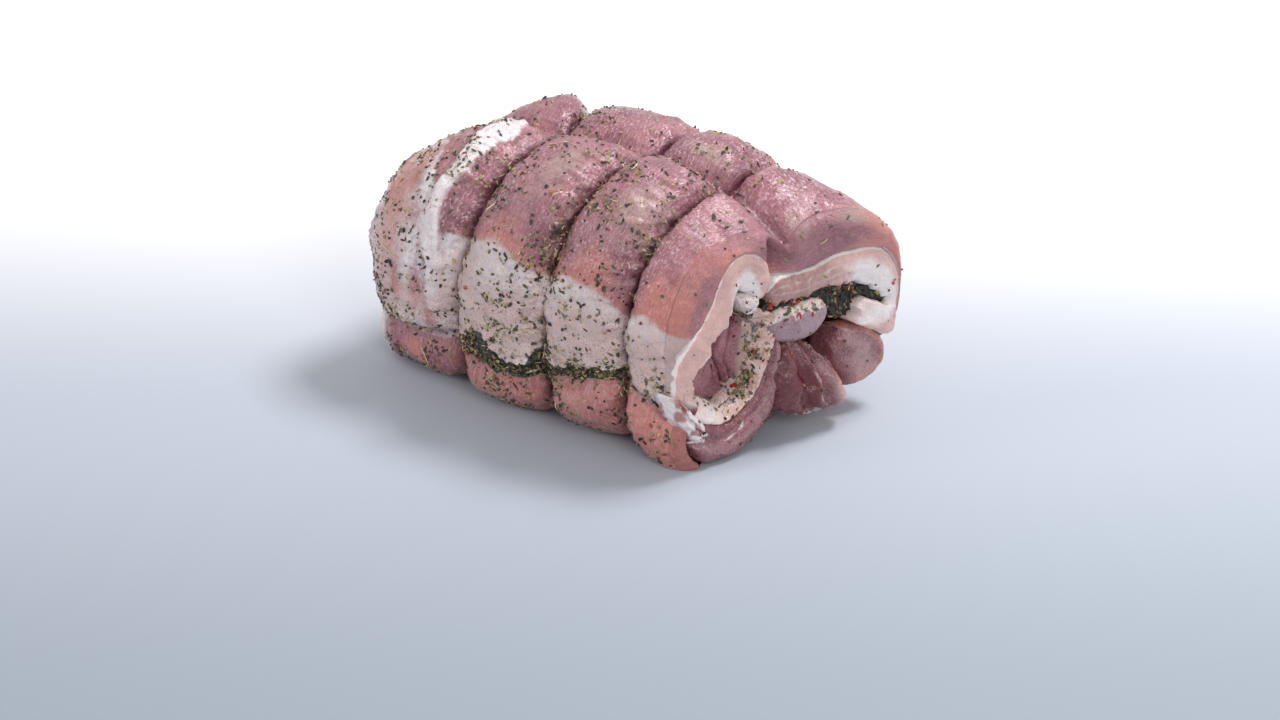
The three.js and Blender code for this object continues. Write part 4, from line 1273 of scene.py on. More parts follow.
@dataclass
class CutFat:
    """The belly fat on the cut: the hook of the front lobe, its herb-coated inner turn, and the back band."""

    form: RollForm
    hook: Edges = (
        (-16, 66, -0.5, -19.5, 67.5, -2.5), (-13, 71, 0.8, -21.5, 71, -1.5),
        (-12.2, 76.5, 1.4, -24.5, 73.5, -0.6), (-13.5, 82, 1.6, -26.5, 75, 0),
        (-16.5, 86.5, 1.6, -27.5, 75.5, 0.4), (-21, 89.7, 1.5, -28.5, 75.8, 0.6),
        (-26.5, 91.2, 1.4, -29.5, 75.2, 0.8), (-31, 90.6, 1.3, -30.5, 73.3, 0.8),
        (-35.2, 87.6, 1.2, -31.3, 69.5, 0.8), (-38.5, 82.5, 1.2, -32.3, 65, 0.8),
        (-41.2, 76, 1.2, -34.2, 60.5, 0.8), (-43.8, 70.8, 1.2, -37.7, 57.5, 0.8),
        (-47.4, 65.3, 1.2, -41.3, 54.2, 0.8), (-52.2, 60.2, 1, -42.6, 49.4, 0.6),
        (-56.5, 55, 0.6, -45.8, 46.2, 0.4), (-59, 50.5, 0.2, -49.3, 42.7, 0.2),
        (-60, 46, 0, -50.5, 39.5, 0), (-60.2, 40, 0, -50.2, 36.5, -0.4),
        (-59, 34, 0, -48.6, 33.5, -1.2), (-56, 29, 0.2, -46, 31, -2.4),
        (-50, 23, 0.4, -42.6, 28.4, -4), (-42, 17.8, 0.6, -38, 26, -5.6),
        (-35, 16.4, 0.8, -32.6, 23.8, -6.8), (-27.8, 18.6, 1, -26.8, 24.2, -7.6),
        (-21, 23.6, 1.4, -22, 27.6, -8.2), (-15.7, 31.2, 1.8, -18.6, 33.6, -8.6),
        (-11.8, 40, 2, -17.2, 42, -9), (-8.9, 48, 1.8, -15.9, 50.2, -9),
        (-7.5, 55, 1.2, -16.6, 57.6, -8), (-9.2, 60.8, 0.4, -17.8, 62.8, -6),
    )
    back: Edges = (
        (-11, 70.5, 0.2, -12, 65.5, 0), (-7.5, 75.2, 0.8, -7.5, 62.5, 0.6),
        (2.4, 74.6, 1, 2.7, 61.9, 1), (10.2, 74.8, 1, 12.4, 62.2, 1.2), (17, 76.2, 1, 20.3, 62.3, 1.2),
        (23, 77, 1, 27.2, 61.6, 1), (36.8, 75.4, 1, 34.5, 60.2, 0.6), (46, 73.4, 1, 40, 57.6, 0.4),
        (52.2, 67.3, 1, 45, 53.8, 0.2), (56, 60, 1, 49.5, 49.8, 0), (56.8, 50.3, 1, 52, 46.6, 0),
        (56.3, 42.5, 1, 50, 45.4, 0.2), (56, 36, 1, 45, 48.6, 0.6), (55, 31.5, 1, 39, 51, 1),
        (50, 31, 1.2, 35.4, 49.2, 1), (43, 35.5, 1.2, 35.2, 45.4, 0.6), (36.5, 39, 0.8, 32, 43.6, 0.2),
    )
    knob: Edges = (
        (-17, 71, -1, -26.5, 71.5, -2), (-16.5, 68, 0.2, -25.5, 68.5, -0.8),
        (-17.5, 64.5, 0.4, -24, 65, -1), (-18.5, 62, -0.6, -22.5, 62.5, -1.6),
    )

    def build(self) -> Shell:
        """Work out the three slabs and paint them.

        Returns:
            The joined shell.
        """
        hook = CutLayer(
            self.form, self.hook, along=460, across=56, edge=2, crown=0.5, depth=13, end_round=3,
            lump_mm=0.32, lump_size=4, seed=3, ripple_mm=0.16, ragged=0.9,
        ).build()
        back = CutLayer(
            self.form, self.back, along=300, across=48, edge=2.2, crown=0.7, depth=12, end_round=3.5,
            lump_mm=0.36, lump_size=4.5, seed=5, ripple_mm=0.2, ragged=0.8,
        ).build()
        knob = CutLayer(
            self.form, self.knob, along=60, across=30, edge=2.4, crown=1.4, depth=8, end_round=3,
            lump_mm=0.6, lump_size=2.6, seed=9,
        ).build()
        self._paint_hook(hook)
        self._paint_back(back)
        self._paint(knob, fat=0.85, herb=1, salmon=0.3)
        return Shell.joined([hook, back, knob])

    @staticmethod
    def _paint(part: Shell, fat: Array | float, herb: Array | float, salmon: Array | float) -> None:
        """Set a slab's fields, with painted shade where it runs back into the roll and some painted
        highlight.
        """
        part.paint(
            fat=unit(fat), herb=np.clip(herb, 0.0, 2.4), salmon=unit(salmon),
            pale=0, wet=0.5, deep=np.where(part.fields["sunk"] > 0, 0.4, 0),
        )

    def _paint_hook(self, part: Shell) -> None:
        """Paint the front lobe's ring.

        It is blush and see-through, with a thin white line outside, a ragged white edge inside, a white curl
        at its start, and herbs on the wall that it turns into.
        """
        along, outer = part.fields["along"], part.fields["outer"]
        wobble = lattice_noise(part.points, 3.2, 17)
        fine = lattice_noise(part.points, 1.3, 19)
        core = falling(along, 0.1, 0.26) * smoothstep(1 - outer + 0.14 * wobble, 0.22, 0.8)
        line = smoothstep(outer + 0.015 * fine, 0.935, 0.965)
        edge = falling(outer + 0.05 * wobble + 0.03 * fine, 0.06, 0.15)
        wall = smoothstep(along, 0.62, 0.74)
        patchy = 0.35 + 0.5 * wobble
        fat = np.maximum(np.maximum(line, core), edge * (1 - wall)) * (1 - wall) + patchy * wall
        low = smoothstep(along, 0.5, 0.62)
        coated = smoothstep(lumps(part.points, 4, 23, 3), -0.5, 0.7)
        herb = 0.1 + wall * (0.75 + 1.75 * coated * (1.15 - 0.5 * outer))
        herb = herb + 0.9 * low * falling(outer, 0.25, 0.55)
        self._paint(part, np.maximum(fat, 0.75 * low * (1 - wall)), herb, 0.65 * wall * outer)

    def _paint_back(self, part: Shell) -> None:
        """Paint the back band: streaky blush outside, pure white inside by the slit and under it."""
        along, outer = part.fields["along"], part.fields["outer"]
        wobble = lattice_noise(part.points, 5, 17)
        streaks = bump(outer + 0.06 * wobble, 0.66, 0.05) + bump(outer + 0.06 * wobble, 0.4, 0.04)
        line = smoothstep(outer, 0.9, 0.95)
        white = smoothstep(along + 0.04 * wobble, 0.28, 0.5)
        white = white * smoothstep(1 - outer + 0.1 * wobble, 0.12, 0.6)
        first = falling(along, 0.3, 0.42)
        fat = np.maximum(np.maximum(line, white), 0.6 * streaks * first)
        herb = 0.08 + 0.6 * falling(outer, 0.03, 0.14) * first
        salmon = 0.55 * falling(outer, 0.1, 0.4) * smoothstep(along, 0.72, 0.9)
        self._paint(part, fat, herb, salmon)
        seen_through = 0.55 * falling(along + 0.05 * wobble, 0.22, 0.5) * (1 - 0.8 * line)
        part.fields["deep"] = np.maximum(part.fields["deep"], seen_through)


@dataclass
class HollowLean:
    """The lean in the hollow of the front lobe, painted darker as shade: folds that stand back behind the
    fat.
    """

    form: RollForm
    folds: tuple[Edges, ...] = (
        (
            (-10.5, 61, -12.5, -18.5, 60, -14.5), (-9.5, 54, -10.5, -19.5, 55, -13),
            (-10, 46, -9.6, -21.2, 47, -12.6), (-11, 38.5, -9.4, -23.9, 39.5, -12.4),
            (-12.5, 31, -9.8, -22.8, 32, -12.4), (-15, 24, -10.8, -20.8, 25.5, -13),
        ),
        (
            (-18.8, 57.5, -14, -22.5, 56.5, -14.2), (-20.4, 48, -12.6, -27, 49, -12.6),
            (-23, 40, -12, -29, 42, -12.2), (-22.2, 33, -12, -26.2, 35.8, -12.4),
            (-20.2, 26, -12.8, -23.6, 28, -13.2),
        ),
        (
            (-23.5, 56, -15, -28.5, 58.5, -15.5), (-26.6, 48.5, -13, -37, 52, -12.4),
            (-28.5, 42, -12.4, -43.5, 44, -10.6), (-25.8, 36, -12.2, -47, 35.5, -9.6),
            (-23.4, 29, -12.6, -45.5, 28, -9.8), (-22, 24.2, -13.4, -36, 22.8, -11.4),
        ),
    )

    def build(self) -> Shell:
        """Work out the folds."""
        shells = [
            CutLayer(
                self.form, fold, along=120, across=44, edge=3.6, crown=2, depth=7, end_round=4,
                lump_mm=0.5, lump_size=5, seed=21 + 4 * k, ripple_mm=0.2,
            ).build()
            for k, fold in enumerate(self.folds)
        ]
        for shell in shells:
            outer, along = shell.fields["outer"], shell.fields["along"]
            # Painted shade in the creases at both sides of each fold and at its upper end behind the fat, and
            # some painted highlight.
            crease = falling(np.minimum(outer, 1 - outer), 0.02, 0.16)
            deep = 0.1 + 0.45 * crease + 0.5 * falling(along, 0.08, 0.3)
            shell.paint(fat=0, salmon=0, pale=0, herb=0.06, wet=0.35, deep=deep)
        # The nearest fold shows a pale, tan streak where its membrane is thick.
        shells[0].paint(pale=1.1 * bump(shells[0].fields["outer"], 0.52, 0.2))
        return Shell.joined(shells)


@dataclass
class Tongue:
    """The pale purple tongue of lean under the slit, with a crumbly herbed rim along its top."""

    form: RollForm
    body: Edges = (
        (-10.5, 57.5, 0.6, -11, 48, 0), (-6.5, 60.2, 1, -7.5, 45.4, 1.5), (1, 60, 1.2, 1, 43.4, 2.4),
        (8.5, 60.3, 1.2, 9.4, 43.6, 2.6), (14, 60, 0.8, 14.2, 46.6, 1.8),
        (18.5, 57.5, 0, 17.8, 50.8, 0.6),
    )

    def build(self) -> Shell:
        """Work out the tongue and paint its rim."""
        shell = CutLayer(
            self.form, self.body, along=150, across=60, edge=3, crown=1.4, depth=12, end_round=4,
            lump_mm=0.42, lump_size=4, seed=31,
        ).build()
        rim = smoothstep(shell.fields["outer"] + 0.14 * lattice_noise(shell.points, 3, 5), 0.6, 0.8)
        # Painted shade where the tongue runs back into the roll, and a painted highlight over it.
        shell.paint(
            fat=0.75 * rim, herb=0.12 + 0.95 * rim, salmon=0.6 * rim, pale=0.2, wet=0.6,
            deep=np.where(shell.fields["sunk"] > 0, 0.4, 0),
        )
        return shell


@dataclass
class LowerLean:
    """The lean of the outer turn that folds under the layers of the cut, as strips and rounded lumps."""

    form: RollForm
    strip: Edges = (
        (-4.6, 46, -0.6, -8.4, 46, -1.2), (-5.8, 40.5, 0.6, -11.6, 40, -0.6),
        (-6.6, 33, 1.2, -15.9, 32.2, -0.4), (-7.6, 24, 1.8, -20.8, 25, -0.2),
        (-10.4, 15.5, 2.2, -25.4, 20.4, 0), (-15, 9, 2.4, -31, 17.6, 0.2),
        (-21.6, 4.2, 2.6, -36.6, 16.8, 0.4), (-29.5, 1.2, 2.6, -41.6, 18, 0.6),
        (-37, 0.6, 2.2, -46.6, 20.4, 0.8), (-44, 0.8, 1.8, -50.8, 21.6, 0.8),
        (-50, 3, 1, -54.5, 21, 0.4),
    )
    lump: Edges = (
        (-8, 44.6, -1.5, 5, 44.6, -2), (-9.8, 39.8, 1.2, 9.8, 39.8, 0.4),
        (-10.6, 34, 3.6, 14.6, 34.2, 2.6), (-10.9, 27.6, 5.4, 18.4, 28, 4.8),
        (-10.7, 21.6, 6.2, 21.8, 21.6, 6.8), (-9.8, 15.6, 5.4, 24.6, 15.4, 7),
        (-4.2, 10.8, 4, 25.4, 10.6, 5.6), (6, 7.2, 2, 18.6, 7.6, 2.8),
    )
    lobe: Edges = (
        (31, 41, 0, 27, 38.8, -2), (38.5, 38.8, 0.8, 24.6, 33.5, -3), (45, 34.5, 1.2, 23.8, 27, -2),
        (49.5, 29.5, 1.2, 25, 21, -0.8), (51.5, 24.5, 1, 27.2, 16, 0), (51, 19.5, 0.8, 30, 12, 0.2),
        (47, 15, 0.6, 34, 10, 0.4),
    )
    sinew: Edges = (
        (-63, 37.5, 0.8, -59.5, 34.5, 1.2), (-62, 31, 1.6, -55.5, 31, 1.8),
        (-60, 25.5, 2, -52.5, 27.5, 1.6), (-56, 20, 2.2, -48.5, 23, 1.4),
        (-52, 15, 2.2, -45.5, 18, 1.2), (-49, 10.5, 1.6, -44, 13, 0.8),
    )

    def build(self) -> Shell:
        """Work out the strip, the lump that stands out, the lobe at the right and the white sinew."""
        strip = CutLayer(
            self.form, self.strip, along=260, across=40, edge=4, crown=0.8, depth=12, end_round=5,
            lump_mm=0.45, lump_size=6, seed=41, ripple_mm=0.2,
            ridges=((0.3, 0.9, 0.12), (0.62, -0.8, 0.08)),
        ).build()
        lump = CutLayer(
            self.form, self.lump, along=170, across=72, edge=5, crown=1.2, depth=16, end_round=6,
            lump_mm=0.9, lump_size=6, seed=47,
            ridges=(
                (0.24, 1, 0.08), (0.42, -1.6, 0.07), (0.56, 1.3, 0.06), (0.7, -1, 0.05), (0.86, 1.8, 0.08),
            ),
        ).build()
        lobe = CutLayer(
            self.form, self.lobe, along=130, across=52, edge=4.5, crown=1.2, depth=12, end_round=5,
            lump_mm=0.55, lump_size=6, seed=53,
        ).build()
        sinew = CutLayer(
            self.form, self.sinew, along=160, across=40, edge=2.4, crown=0.6, depth=9, end_round=3,
            lump_mm=0.8, lump_size=5, seed=59, ridges=((0.3, 0.8, 0.12), (0.6, -1, 0.1)), ragged=0.3,
        ).build()
        self._paint_strip(strip)
        self._paint_lump(lump)
        self._paint_lobe(lobe)
        self._paint_sinew(sinew)
        return Shell.joined([strip, lump, lobe, sinew])

    @staticmethod
    def _paint_strip(part: Shell) -> None:
        """Paint the strip: grey-purple and glossy, with smooth white streaks low on the turn,
        painted shade towards its inner edge and a painted highlight.
        """
        outer, along = part.fields["outer"], part.fields["along"]
        wobble = lattice_noise(part.points, 6, 61)
        streak = bump(outer + 0.22 * wobble, 0.34, 0.05) + 0.8 * bump(outer + 0.25 * wobble, 0.66, 0.04)
        streak = streak * (0.7 + 0.7 * lattice_noise(part.points, 7, 65))
        # Painted shade towards the inner edge, where the strip meets the layers above it.
        part.paint(
            fat=unit(0.85 * streak * smoothstep(along, 0.42, 0.6)), salmon=0,
            pale=0.5 * bump(outer + 0.1 * wobble, 0.6, 0.2), wet=0.6,
            deep=0.18 + 0.35 * falling(outer, 0.02, 0.3), herb=0.2 + 0.35 * bump(outer, 0.1, 0.2),
        )

    @staticmethod
    def _paint_lump(part: Shell) -> None:
        """Paint the lump: herbs and grey on top, dark red all over with painted shade in its furrows, pale
        ridges and an orange edge.
        """
        outer, along = part.fields["outer"], part.fields["along"]
        across = 1 - outer
        wobble = lattice_noise(part.points, 4, 61)
        under = smoothstep(along + 0.05 * wobble, 0.86, 0.94) * falling(across, 0.5, 0.75)
        ridges = 0.75 * bump(across + 0.05 * wobble, 0.56, 0.03) * smoothstep(along, 0.3, 0.45)
        edge = smoothstep(across, 0.76, 0.93) * smoothstep(along, 0.4, 0.6)
        # Dark red all over, with painted shade in the deep furrow and near the outer edge, and a full painted
        # highlight.
        dark = 0.45 + 0.6 * bump(across, 0.42, 0.12) * smoothstep(along, 0.25, 0.4)
        dark = dark + 0.3 * bump(across, 0.12, 0.14)
        dark = dark * (1 - 0.8 * under) * (1 - 0.9 * smoothstep(across, 0.7, 0.86))
        part.paint(
            fat=unit(0.7 * under + ridges), salmon=unit(edge + 0.6 * under),
            pale=0.8 * bump(across, 0.78, 0.07) * smoothstep(along, 0.2, 0.4), deep=unit(dark),
            wet=1, herb=0.12 + falling(along, 0.14, 0.36),
        )

    @staticmethod
    def _paint_lobe(part: Shell) -> None:
        """Paint the rounded lobe at the right, with a paler band along its middle, painted shade along its
        inner edge, a painted highlight and a salmon edge.
        """
        outer, along = part.fields["outer"], part.fields["along"]
        wobble = lattice_noise(part.points, 5, 61)
        # Painted shade along the inner edge.
        part.paint(
            fat=0, salmon=0.6 * smoothstep(along, 0.6, 1) + 0.7 * smoothstep(outer, 0.7, 1),
            pale=0.3 + 0.5 * bump(outer + 0.2 * wobble, 0.5, 0.16),
            deep=0.05 + 0.45 * bump(outer, 0.05, 0.15), wet=0.8, herb=0.08,
        )

    @staticmethod
    def _paint_sinew(part: Shell) -> None:
        """Paint the white sinew: patchy, with painted shade in the groove along it and a painted highlight.
        """
        patchy = 0.62 + 0.6 * lumps(part.points, 4.5, 63, 2)
        # Painted shade in the groove along the sinew.
        furrow_shade = 0.5 * bump(part.fields["outer"], 0.38, 0.07)
        part.paint(fat=unit(patchy), salmon=0.35, pale=0.6, deep=furrow_shade, wet=1, herb=0.35)


@dataclass
class HerbPaste:
    """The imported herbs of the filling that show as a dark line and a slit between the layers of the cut."""

    form: RollForm
    line: Edges = (
        (-13, 65.5, -2.6, -13, 60, -2.6), (-6, 64, -1.8, -6, 58, -1.6), (3, 63.6, -1.4, 3, 58, -1.2),
        (13, 64, -1.6, 13, 58, -1.4), (21, 64, -2.4, 20, 54, -3.6), (28, 63, -3.4, 27, 44, -5),
        (35, 61.5, -3.8, 34, 44, -5), (42, 57.5, -3.4, 41, 49, -4), (48, 52, -2.6, 47, 46.5, -3),
        (52.5, 47.5, -2, 51.5, 45, -2.2),
    )

    def build(self) -> Shell:
        """Work out the crumbly paste."""
        shell = CutLayer(
            self.form, self.line, along=240, across=52, edge=1.6, crown=0.6, depth=8, end_round=2.5,
            lump_mm=1.35, lump_size=2.4, seed=67,
        ).build()
        shell.paint(herb=1.5, shade=unit(0.35 + 0.6 * lattice_noise(shell.points, 1.3, 77)))
        return shell


# ---- ties and herbs


@dataclass
class TwineLoop:
    """One tie: a closed loop of twine, two strands laid round each other, that the meat swells over.

    It lies sunk in the floor of its pinch and comes up into sight in short lengths low on the front.
    """

    form: RollForm
    tie: Tie
    sunk: float = 0.75
    risen: float = 0.95
    strand: float = 0.34
    offset: float = 0.27
    lay: float = 4.4
    sides: int = 6
    step: float = 0.6

    def centreline(self) -> Array:
        """Give the loop's middle line, lifted from the pinch's floor by -sunk to +risen."""
        angle = np.linspace(0, 360, 721)[:-1]
        low_front = smoothstep(angle, 152, 164) * falling(angle, 226, 240)
        seen = low_front * smoothstep(lattice_noise(plane(angle, self.tie.row), 6, 331), -0.45, 0.15)
        lift = (self.sunk + self.risen) * seen - self.sunk
        ring = self.form.point(np.full(len(angle), self.tie.row), angle, lift=lift)
        closed = np.vstack([ring, ring[:1]])
        length = np.concatenate([[0], np.cumsum(np.linalg.norm(np.diff(closed, axis=0), axis=1))])
        even = np.linspace(0, length[-1], int(length[-1] / self.step) + 1)[:-1]
        return np.stack([np.interp(even, length, closed[:, k]) for k in range(3)], axis=1)

    def build(self) -> Shell:
        """Work out the two strands: helices round the line, one turn in each lay's length.

        Returns:
            The shell, with `shade` 0 on the red strand and 1 on the white.
        """
        line = self.centreline()
        line[:, 2] = np.maximum(line[:, 2], self.strand + self.offset + 0.1)
        count = len(line)
        ahead = np.roll(line, -1, axis=0) - np.roll(line, 1, axis=0)
        ahead /= np.linalg.norm(ahead, axis=1, keepdims=True)
        sideways = np.cross(ahead, np.array([1, 0, 0]))
        sideways /= np.linalg.norm(sideways, axis=1, keepdims=True)
        upright = np.cross(sideways, ahead)
        turns = round(count * self.step / self.lay)
        around = np.arange(self.sides) / self.sides * 2 * np.pi
        spokes = (np.cos(around)[None, :, None] * sideways[:, None]
                  + np.sin(around)[None, :, None] * upright[:, None])
        # The last ring of quads joins the first, so each strand is closed without ends.
        quads = wrapped_grid(count + 1, self.sides) % (count * self.sides)
        shells = []
        for strand in range(2):
            phase = np.arange(count) / count * turns * 2 * np.pi + strand * np.pi
            aside = np.cos(phase)[:, None] * sideways + np.sin(phase)[:, None] * upright
            middle = line + self.offset * aside
            points = (middle[:, None] + self.strand * spokes).reshape(-1, 3)
            points[:, 2] = np.maximum(points[:, 2], 0)
            shell = Shell(points, quads, np.zeros((0, 3), int))
            shell.face_out()
            shell.paint(shade=float(strand))
            shells.append(shell)
        return Shell.joined(shells)


class FlakeShape(Enum):
    """The form of one scattered bit."""

    LEAF = "a thin, curled, six-cornered scrap"
    STICK = "a thin bent stalk or needle"
    GRAIN = "a broken corn"


@dataclass(frozen=True)
class HerbKind:
    """One kind of scattered bit, with its sizes in millimetres and its finish."""

    name: str
    shape: FlakeShape
    count: int
    length: tuple[float, float]
    width: tuple[float, float]
    thick: float
    finish: DryHerb
    on_cut: float = 1.0


KINDS: tuple[HerbKind, ...] = (
    HerbKind("herb_leaves_dark", FlakeShape.LEAF, 1500, (1.1, 3.6), (0.7, 1.7), 0.24,
             DryHerb("dried_leaf_dark", "#1e1d18", "#544f3d"), 0.8),
    HerbKind("herb_leaves_olive", FlakeShape.LEAF, 1900, (1.1, 3.5), (0.7, 1.6), 0.24,
             DryHerb("dried_leaf_olive", "#5c533a", "#aa9a6e"), 0.6),
    HerbKind("herb_bits_straw", FlakeShape.STICK, 1000, (1, 3.6), (0.35, 0.65), 0.3,
             DryHerb("dried_stalk_straw", "#9b875a", "#d8c99c"), 0.22),
    HerbKind("rosemary_needles", FlakeShape.STICK, 34, (4.5, 8), (0.6, 0.9), 0.5,
             DryHerb("dried_rosemary", "#8a8656", "#cfc69c"), 0.3),
    HerbKind("black_pepper", FlakeShape.GRAIN, 650, (0.6, 1.5), (0.5, 1.2), 0.8,
             DryHerb("cracked_black_pepper", "#121113", "#35302e", 0.5, 0.25)),
    HerbKind("herb_crumbs", FlakeShape.GRAIN, 2400, (0.35, 0.9), (0.3, 0.7), 0.4,
             DryHerb("dried_herb_crumbs", "#2f2e21", "#a0946a")),
    HerbKind("chilli_flakes", FlakeShape.LEAF, 190, (1, 2.4), (0.6, 1.4), 0.35,
             DryHerb("dried_red_chilli", "#6e1812", "#b0402a", 0.35, 0.5), 2.4),
    HerbKind("chilli_pieces", FlakeShape.LEAF, 15, (2.6, 4.6), (1.5, 2.4), 0.5,
             DryHerb("dried_red_chilli_skin", "#7c1a10", "#a8341c", 0.3, 0.6), 30),
    HerbKind("chilli_seeds", FlakeShape.GRAIN, 120, (0.9, 1.6), (0.8, 1.2), 0.5,
             DryHerb("dried_chilli_seed", "#a97f3c", "#d3b474", 0.45, 0.3), 1.5),
)


@dataclass
class HerbRub:
    """The rub: dried leaf, stalk, pepper and chilli scattered over the roll, each bit a mesh at true size."""

    seed: int = 40117
    # How far behind the plane of the cut its layers still lie, and where the side begins (mm).
    cut_depth: float = 14.0
    side_start: float = 3.0
    # The share of the herbs that reaches ground which is neither cut nor side.
    sheltered: float = 0.4

    def scattered(self, surfaces: list[Shell], kind: HerbKind, index: int, cut_plane: RollForm) -> Shell:
        """Scatter one kind over the surfaces, by area times the `herb` field, in loose clumps.

        Args:
            surfaces: the shells to lie on.
            kind: what to scatter.
            index: the kind's number, for its own random draw.
            cut_plane: tells the cut from the side.

        Returns:
            All the bits of that kind, each closed on its own.
        """
        rng = np.random.default_rng(self.seed + index)
        ground = Shell.joined(surfaces)
        corners, area, normal = ground.face_samples()
        middle = ground.points[corners].mean(axis=1)
        herb = ground.fields["herb"][corners].mean(axis=1)
        drifts = lumps(middle, 8, 300, 2) + 0.5 * lattice_noise(middle, 6, 300 + index)
        clumps = 0.2 + 1.8 * smoothstep(drifts, -0.3, 0.8)
        clumps *= 0.5 + smoothstep(lumps(middle, 3.2, 400 + 13 * index, 1), -0.3, 0.6)
        past = middle[:, 0] - cut_plane.cut_row - cut_plane.cut_slant * middle[:, 1]
        on_cut = (past > -self.cut_depth) & (normal[:, 0] > 0.5)
        in_sight = on_cut | (past < -self.side_start)
        open_to_air = np.where(in_sight, 1, self.sheltered) * (middle[:, 2] > 2)
        weight = area * herb * clumps * open_to_air * np.where(on_cut, kind.on_cut, 1)
        weight = weight * (ground.fields["sunk"][corners].max(axis=1) < 0.05)
        chosen = rng.choice(len(weight), size=kind.count, p=weight / weight.sum())
        shares = rng.dirichlet((1, 1, 1), size=kind.count)
        place = np.einsum("nk,nkd->nd", shares, ground.points[corners[chosen]])
        return self._bits(kind, rng, place, normal[chosen], smoothstep(herb[chosen], 1.6, 3.6))

    def _bits(self, kind: HerbKind, rng: np.random.Generator, place: Array, normal: Array,
              heaped: Array) -> Shell:
        """Make the bits of a kind at their places, each turned at random and tilted off the surface.

        Args:
            kind: what to make.
            rng: the kind's random draw.
            place: where each bit lies (mm).
            normal: the surface's normal there.
            heaped: 1 where bits lie heaped on each other at all slants, 0 where each lies flat.

        Returns:
            All the bits.
        """
        shape, faces = self._template(kind.shape)
        count, corners = len(place), len(shape)
        body = shape[None] * (1 + 0.2 * rng.standard_normal((count, corners, 3)).clip(-1.6, 1.6))
        long = rng.uniform(*kind.length, count) * rng.uniform(0.75, 1, count)
        wide = np.minimum(rng.uniform(*kind.width, count), long)
        curl = rng.normal(0, 0.28, count)
        body = body * np.stack([long, wide, np.full(count, kind.thick)], axis=1)[:, None, :]
        bend = curl[:, None] * (body[..., 0] / long[:, None]) ** 2 * long[:, None]
        cup = 0.5 * rng.normal(0, 0.4, count)[:, None] * (body[..., 1] / wide[:, None]) ** 2 * wide[:, None]
        body[..., 2] += bend + cup * (kind.shape is FlakeShape.LEAF)
        slant = (0.3 if kind.shape is FlakeShape.LEAF else 0.16) + 0.5 * heaped
        tilted = normal + slant[:, None] * rng.standard_normal((count, 3))
        up = tilted / np.linalg.norm(tilted, axis=1, keepdims=True)
        side = np.cross(up, rng.standard_normal((count, 3)))
        side /= np.linalg.norm(side, axis=1, keepdims=True)
        across = np.cross(up, side)
        turned = (body[..., :1] * side[:, None] + body[..., 1:2] * across[:, None]
                  + body[..., 2:] * up[:, None])
        lift = (0.35 * kind.thick + 0.12 * np.abs(curl) * long + 1.1 * heaped * rng.random(count))[:, None]
        points = turned + (place + normal * lift)[:, None]
        points[..., 2] = np.maximum(points[..., 2], 0.1)
        tris = (faces[None] + corners * np.arange(count)[:, None, None]).reshape(-1, 3)
        shade = np.repeat(rng.random(count), corners)
        return Shell(points.reshape(-1, 3), np.zeros((0, 4), int), tris, {"shade": shade})

    @staticmethod
    def _template(shape: FlakeShape) -> tuple[Array, Array]:
        """Give a bit's corners, one unit long and wide, and its triangles, facing out."""
        if shape is FlakeShape.GRAIN:
            golden = (1 + 5**0.5) / 2
            corners = np.array([(0, s, t * golden) for s in (-1, 1) for t in (-1, 1)], float)
            corners = np.vstack([np.roll(corners, k, axis=1) for k in range(3)]) / (2 * golden)
            close = np.linalg.norm(corners[:, None] - corners[None], axis=-1) < 1.02 / golden
            faces = [(i, j, k) for i in range(12) for j in range(i + 1, 12) for k in range(j + 1, 12)
                     if close[i, j] and close[j, k] and close[i, k]]
            faces = np.array(faces)
            a, b, c = (corners[faces[:, k]] for k in range(3))
            inward = np.einsum("ij,ij->i", np.cross(b - a, c - a), a) < 0
            faces[inward] = faces[inward][:, ::-1]
            return corners, faces
        if shape is FlakeShape.STICK:
            stops = np.array([-0.5, -0.2, 0.15, 0.5])
            girth = np.array([0.6, 1, 0.95, 0.45])
            around = np.arange(4) / 4 * 2 * np.pi
            round_y, round_z = girth[:, None] * np.cos(around) / 2, girth[:, None] * np.sin(around) / 2
            grid = np.stack(np.broadcast_arrays(stops[:, None], round_y, round_z), axis=-1)
            quads = wrapped_grid(4, 4)
            ends = [(0, 2, 1), (0, 3, 2), (12, 13, 14), (12, 14, 15)]
            return grid.reshape(-1, 3), np.vstack([quads[:, [0, 1, 2]], quads[:, [0, 2, 3]], ends])
        outline = np.array([
            (-0.5, 0.05), (-0.22, 0.48), (0.22, 0.42), (0.5, -0.04), (0.2, -0.46), (-0.26, -0.5),
        ])
        top = np.column_stack([outline, np.full(6, 0.5)])
        under = np.column_stack([outline, np.full(6, -0.5)])
        corners = np.vstack([top, under, (0, 0, 0.9), (0, 0, -0.3)])
        ring = np.arange(6)
        after = np.roll(ring, -1)
        top_fan = np.stack([after, ring, np.full(6, 12)], axis=1)
        under_fan = np.stack([ring + 6, after + 6, np.full(6, 13)], axis=1)
        sides = [np.stack([ring, after, after + 6], axis=1), np.stack([ring, after + 6, ring + 6], axis=1)]
        return corners, np.vstack([top_fan, under_fan, *sides])


# ---- studio


@dataclass(frozen=True)
class Softbox:
    """One area light: its place, what it looks at and its size in metres, its power and colour."""

    name: str
    place: tuple[float, float, float]
    target: tuple[float, float, float]
    size: tuple[float, float]
    watts: float
    colour: str


